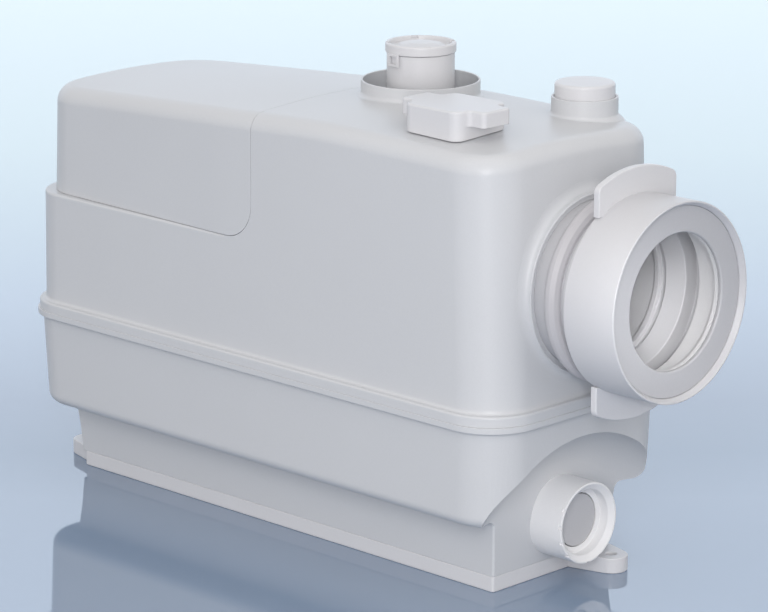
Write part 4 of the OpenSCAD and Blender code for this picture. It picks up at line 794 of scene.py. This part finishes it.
# Discharge collar and its well, with the fillet at its foot
collar = revolve("discharge_collar", [
    (WELL_HOLE_R, WELL_Z - 3, 0.4), (COLLAR_R, WELL_Z - 3, 0.3), (COLLAR_R, COLLAR_Z, 0.5),
    (COLLAR_R - COLLAR_WALL, COLLAR_Z, 0.5), (COLLAR_R - COLLAR_WALL, WELL_Z, 2.0),
    (WELL_HOLE_R, WELL_Z, 0.5)], "Z", (OUT_X, OUT_Y), seg=160)
dress(collar, shell_mat, "body", "white_plastic")
collar_foot = fillet_band("collar_foot", (OUT_X, OUT_Y), COLLAR_R, 2.6, 2.6, top_surface, "Z")
dress(collar_foot, shell_mat, "body", "white_plastic")

# Discharge tube
tube = revolve("discharge_stub", [
    (TUBE_R - TUBE_WALL, TUBE_FOOT_Z, 0.3), (TUBE_R, TUBE_FOOT_Z, 0.3), (TUBE_R, CAP_Z - 0.3, 0.4),
    (TUBE_R - TUBE_WALL, CAP_Z - 0.3, 0.4)], "Z", (OUT_X, OUT_Y))
dress(tube, pale_mat, "body", "white_plastic", "discharge_tube")

# Top inlet stub with its blanking plug
stub = revolve("top_stub", [
    (STUB_R - STUB_WALL - 2.5, TOP_Z - 6.5, 0.3), (STUB_R + 4.5, TOP_Z - 6.5, 0.3), (STUB_R, TOP_Z - 2, 1.5),
    (STUB_R, STUB_Z, 0.5), (STUB_R - STUB_WALL, STUB_Z, 0.4), (STUB_R - STUB_WALL, TOP_Z - 3.5, 0.4),
    (STUB_R - STUB_WALL - 2.5, TOP_Z - 3.5, 0.4)], "Z", (STUB_X, STUB_Y), seg=112)
dress(stub, shell_mat, "body", "white_plastic")
stub_foot = fillet_band("stub_foot", (STUB_X, STUB_Y), STUB_R, 2.2, 2.2, top_surface, "Z")
dress(stub_foot, shell_mat, "body", "white_plastic")
plug = revolve("top_plug_body", [
    (0, PLUG_Z - 3, 0), (PLUG_R - 2.4, PLUG_Z - 3, 1.0), (PLUG_R - 2.4, TOP_Z - 3.2, 0.3),
    (PLUG_R, TOP_Z - 3.2, 0.3), (PLUG_R, PLUG_Z, 1.8), (PLUG_R - 5, PLUG_Z, 0), (0, PLUG_Z + 0.1, 0)],
    "Z", (STUB_X, STUB_Y), seg=112, solid=True, steps=7)
dress(plug, pale_mat, "plug", "white_plastic", "top_plug")


def discharge_cap_body():
    """Blanking cap: notched rim, groove and low dome, a plug below and a latch loop at the side."""
    top, inner = CAP_Z + CAP_H, TUBE_R - TUBE_WALL - 0.3
    cap = revolve("discharge_cap_body", [
        (0, CAP_Z - 11, 0), (inner - 1.5, CAP_Z - 11, 0.4), (inner, CAP_Z - 10, 0.4), (inner, CAP_Z, 0.2),
        (CAP_R, CAP_Z, 0.6), (CAP_R, top, 1.3), (CAP_R - 2.6, top, 0.9), (CAP_R - 3.4, top - 2.6, 0.6),
        (CAP_R - 6, top - 2.6, 1.2), (CAP_R - 9, top - 1.3, 1.5), (CAP_R - 14, top - 0.3, 1.5), (0, top, 0)],
        "Z", (OUT_X, OUT_Y), seg=160, solid=True, steps=6)
    for turn in (-35, 55, 145, 235):
        g = math.radians(turn)
        c, n = math.cos(g), math.sin(g)
        carve(cap, slab(
            "notch", [(-3.4, -2.2), (0.1, -2.2), (0.1, 2.2), (-3.4, 2.2)],
            lambda u, v, d: (OUT_X + c * (CAP_R - 1 + u) - n * v, OUT_Y + n * (CAP_R - 1 + u) + c * v, d),
            top - 1.6, top + 2, 0.3))
    g = math.radians(-95.5)
    c, n = math.cos(g), math.sin(g)
    loop_in, loop_out = TUBE_R + 0.3, TUBE_R + 1.9

    def on_tube(u, v, d):
        return (OUT_X + c * d - n * u, OUT_Y + n * d + c * u, CAP_Z + v)

    loop = slab("latch", [(-4.8, -7.2), (4.8, -7.2), (4.8, 0.6), (-4.8, 0.6)], on_tube,
                loop_in, loop_out, 0.35)
    carve(loop, slab("window", [(-2.9, -5.4), (2.9, -5.4), (2.9, -0.9), (-2.9, -0.9)], on_tube,
                     loop_in - 1, loop_out + 1, 0.2))
    return carve(cap, loop, "UNION")


dress(discharge_cap_body(), pale_mat, "blanking_cap", "white_plastic", "discharge_cap")


def vent_shape():
    """Outline of the cap seen from above: a rounded square with a wing on each side."""
    f, c, e = VENT_FILLET_R, VENT_CORNER_R, WING_TIP_R
    half_l, half_w, wing_y = VENT_L / 2, VENT_W / 2, WING_W / 2
    q = [(half_l - c + c * math.sin(a), half_w - c + c * math.cos(a)) for a in arc_steps(8)]
    q += [(half_l + f - f * math.cos(a), wing_y + f - f * math.sin(a)) for a in arc_steps(6)]
    q += [(half_l + WING_OUT - e + e * math.sin(a), wing_y - e + e * math.cos(a)) for a in arc_steps(6)]
    right = q + [(x, -y) for x, y in reversed(q)]
    return right + [(-x, -y) for x, y in right]


slope_x = (crown_fall(VENT_X + VENT_L / 2, VENT_Y) - crown_fall(VENT_X - VENT_L / 2, VENT_Y)) / VENT_L
slope_y = (crown_fall(VENT_X, VENT_Y + VENT_W / 2) - crown_fall(VENT_X, VENT_Y - VENT_W / 2)) / VENT_W
vent_z = TOP_Z - crown_fall(VENT_X, VENT_Y) + 0.3


def vent_cap():
    """Cap with its wings, rounded along the top edge."""
    shape = vent_shape()
    n, bevel = len(shape), 1.4
    norms = side_normals(shape)
    path = [(0.5 * (1 - math.sin(a)), -WING_H + 0.5 * (1 - math.cos(a))) for a in arc_steps(3)]
    path += [(bevel * (1 - math.cos(a)), -bevel * (1 - math.sin(a))) for a in arc_steps(6)]
    path += [(bevel + 0.4, 0.0), (bevel + 0.9, 0.0)]
    verts = []
    for inset, d in path:
        verts += [(VENT_X + p[0] + m.x * inset, VENT_Y + p[1] + m.y * inset, VENT_TOP + d)
                  for p, m in zip(shape, norms)]
    faces = side_faces(len(path), n)
    verts += [(VENT_X, VENT_Y, VENT_TOP - WING_H), (VENT_X, VENT_Y, VENT_TOP)]
    last = (len(path) - 1) * n
    for j in range(n):
        k = (j + 1) % n
        faces += [(j, k, len(path) * n), (last + j, last + k, len(path) * n + 1)]
    return to_object("vent_cap_body", verts, faces)


def vent_foot():
    """Square body under the wings, its foot cut to the slope of the crown."""
    rings = []
    for inset, lift in ((0.5, 0.0), (0.1, 0.15), (0.0, 0.5)):
        rings.append([(VENT_X + x, VENT_Y + y, vent_z - slope_x * x - slope_y * y + lift)
                      for x, y in outline(VENT_L / 2 - inset - 0.02, VENT_W / 2 - inset - 0.02,
                                          VENT_CORNER_R - inset)])
    rings.append([(VENT_X + x, VENT_Y + y, VENT_TOP - 2.5)
                  for x, y in outline(VENT_L / 2 - 0.02, VENT_W / 2 - 0.02, VENT_CORNER_R)])
    return loft("vent_foot", rings)


dress(vent_cap(), pale_mat, "vent", "white_plastic", "vent_cap")
dress(vent_foot(), pale_mat, "vent", "white_plastic")

# Stage

# Painted colour of the floor against the distance behind the part, in metres: a painted shadow of the part
# in the dip around 0.12 to 0.24 m, and painted light that makes the floor lighter towards the back
FLOOR_PAINTED_LIGHT_AND_SHADOW = (
    (-0.25, (0.235, 0.310, 0.425)), (-0.10, (0.235, 0.312, 0.430)), (0.02, (0.245, 0.322, 0.440)),
    (0.12, (0.185, 0.262, 0.372)), (0.24, (0.200, 0.268, 0.380)), (0.52, (0.333, 0.432, 0.565)),
    (1.07, (0.520, 0.670, 0.710)), (1.84, (0.655, 0.820, 0.840)))
BACKDROP_GLOW = (0.87, 0.95, 1.08)

# Sizes of floor and backdrop, in metres, and the strength of the even light
FLOOR_HALF, BACKDROP_AT, BACKDROP_HALF, BACKDROP_TOP = 10.0, 6.5, 10.0, 7.5
WORLD_STRENGTH = 0.80


def seen_by(nt, *rays):
    """One for the given kinds of rays, zero for all others."""
    path = nt.nodes.new("ShaderNodeLightPath")
    out = path.outputs[rays[0]]
    for ray in rays[1:]:
        top = nt.nodes.new("ShaderNodeMath")
        top.operation = "MAXIMUM"
        nt.links.new(out, top.inputs[0])
        nt.links.new(path.outputs[ray], top.inputs[1])
        out = top.outputs["Value"]
    return out


def stage_floor():
    """Polished floor whose colour changes from front to back: a painted shadow just behind the part, painted
    light towards the back.
    """
    me = bpy.data.meshes.new("floor")
    s = FLOOR_HALF
    me.from_pydata([(-s, -s, 0), (s, -s, 0), (s, s, 0), (-s, s, 0)], [], [(0, 1, 2, 3)])
    floor = bpy.data.objects.new("floor", me)
    scene.collection.objects.link(floor)
    m = bpy.data.materials.new("floor")
    m.use_nodes = True
    nt = m.node_tree
    b = nt.nodes["Principled BSDF"]
    b.inputs["Roughness"].default_value = 0.04
    b.inputs["IOR"].default_value = 2.0
    geo = nt.nodes.new("ShaderNodeNewGeometry")
    dot = nt.nodes.new("ShaderNodeVectorMath")
    dot.operation = "DOT_PRODUCT"
    dot.inputs[1].default_value = AWAY
    rng = nt.nodes.new("ShaderNodeMapRange")
    near, far = FLOOR_PAINTED_LIGHT_AND_SHADOW[0][0], FLOOR_PAINTED_LIGHT_AND_SHADOW[-1][0]
    rng.inputs["From Min"].default_value = near
    rng.inputs["From Max"].default_value = far
    ramp = nt.nodes.new("ShaderNodeValToRGB")
    cr = ramp.color_ramp
    cr.elements[0].color = (*FLOOR_PAINTED_LIGHT_AND_SHADOW[0][1], 1)
    cr.elements[1].color = (*FLOOR_PAINTED_LIGHT_AND_SHADOW[-1][1], 1)
    for at, tone in FLOOR_PAINTED_LIGHT_AND_SHADOW[1:-1]:
        cr.elements.new((at - near) / (far - near)).color = (*tone, 1)
    nt.links.new(geo.outputs["Position"], dot.inputs[0])
    nt.links.new(dot.outputs["Value"], rng.inputs["Value"])
    nt.links.new(rng.outputs["Result"], ramp.inputs["Fac"])
    nt.links.new(ramp.outputs["Color"], b.inputs["Base Color"])
    me.materials.append(m)


def stage_backdrop():
    """Tall pale sheet far behind the part, which the polished floor mirrors."""
    me = bpy.data.meshes.new("backdrop")
    at, half, top = AWAY * BACKDROP_AT, ACROSS * BACKDROP_HALF, Vector((0, 0, BACKDROP_TOP))
    me.from_pydata([at - half, at + half, at + half + top, at - half + top], [], [(0, 1, 2, 3)])
    sheet = bpy.data.objects.new("backdrop", me)
    scene.collection.objects.link(sheet)
    m = bpy.data.materials.new("backdrop")
    m.use_nodes = True
    nt = m.node_tree
    b = nt.nodes["Principled BSDF"]
    b.inputs["Base Color"].default_value = (0.6, 0.66, 0.74, 1)
    b.inputs["Roughness"].default_value = 0.9
    b.inputs["Emission Color"].default_value = (*[c / BACKDROP_GLOW[2] for c in BACKDROP_GLOW], 1)
    power = nt.nodes.new("ShaderNodeMath")
    power.operation = "MULTIPLY"
    power.inputs[1].default_value = BACKDROP_GLOW[2]
    nt.links.new(seen_by(nt, "Is Camera Ray", "Is Glossy Ray"), power.inputs[0])
    nt.links.new(power.outputs["Value"], b.inputs["Emission Strength"])
    me.materials.append(m)


stage_floor()
stage_backdrop()


def world_light():
    w = bpy.data.worlds.new("studio")
    scene.world = w
    w.use_nodes = True
    bg = w.node_tree.nodes["Background"]
    bg.inputs["Color"].default_value = (1.0, 0.985, 0.975, 1)
    bg.inputs["Strength"].default_value = WORLD_STRENGTH


world_light()


def aimed(name, data, at, aim):
    """Light of the given data, placed at one point and turned to another."""
    obj = bpy.data.objects.new(name, data)
    scene.collection.objects.link(obj)
    obj.location = at
    obj.rotation_euler = (Vector(aim) - Vector(at)).to_track_quat("-Z", "Y").to_euler()
    return obj


def lamp(name, at, aim, size, power, tone, mirrored=True):
    """Soft box that the camera doesn't see; mirrored says whether glossy surfaces show it."""
    data = bpy.data.lights.new(name, "AREA")
    data.shape, data.size, data.size_y = "RECTANGLE", size[0], size[1]
    data.energy, data.color = power, tone
    obj = aimed(name, data, at, aim)
    obj.visible_camera = False
    obj.visible_glossy = mirrored


def snoot(name, at, aim, angle, power):
    """Narrow spot that lights the inside of the sleeve."""
    data = bpy.data.lights.new(name, "SPOT")
    data.energy, data.spot_size = power, math.radians(angle)
    data.spot_blend, data.shadow_soft_size = 0.8, 0.04
    aimed(name, data, at, aim)


lamp("top_soft", (0.1, 0.1, 1.7), (0, 0, 0.1), (1.6, 1.2), 1, (1.0, 0.98, 0.97))
lamp("right_soft", (1.6, -0.5, 0.45), (0.1, 0, 0.15), (0.9, 0.9), 1.5, (1.0, 0.98, 0.97), False)
lamp("front_low", (-0.2, -2.0, 0.20), (0, 0, 0.12), (1.6, 0.7), 3, (1.0, 0.99, 0.99), False)
lamp("front_strip", (1.35, -1.40, 0.75), (0.1, 0, 0.15), (0.28, 1.1), 16, (1.0, 0.985, 0.99))
snoot("throat_snoot", (1.05, -0.72, 0.50), (0.225, 0.024, 0.160), 3.2, 70)
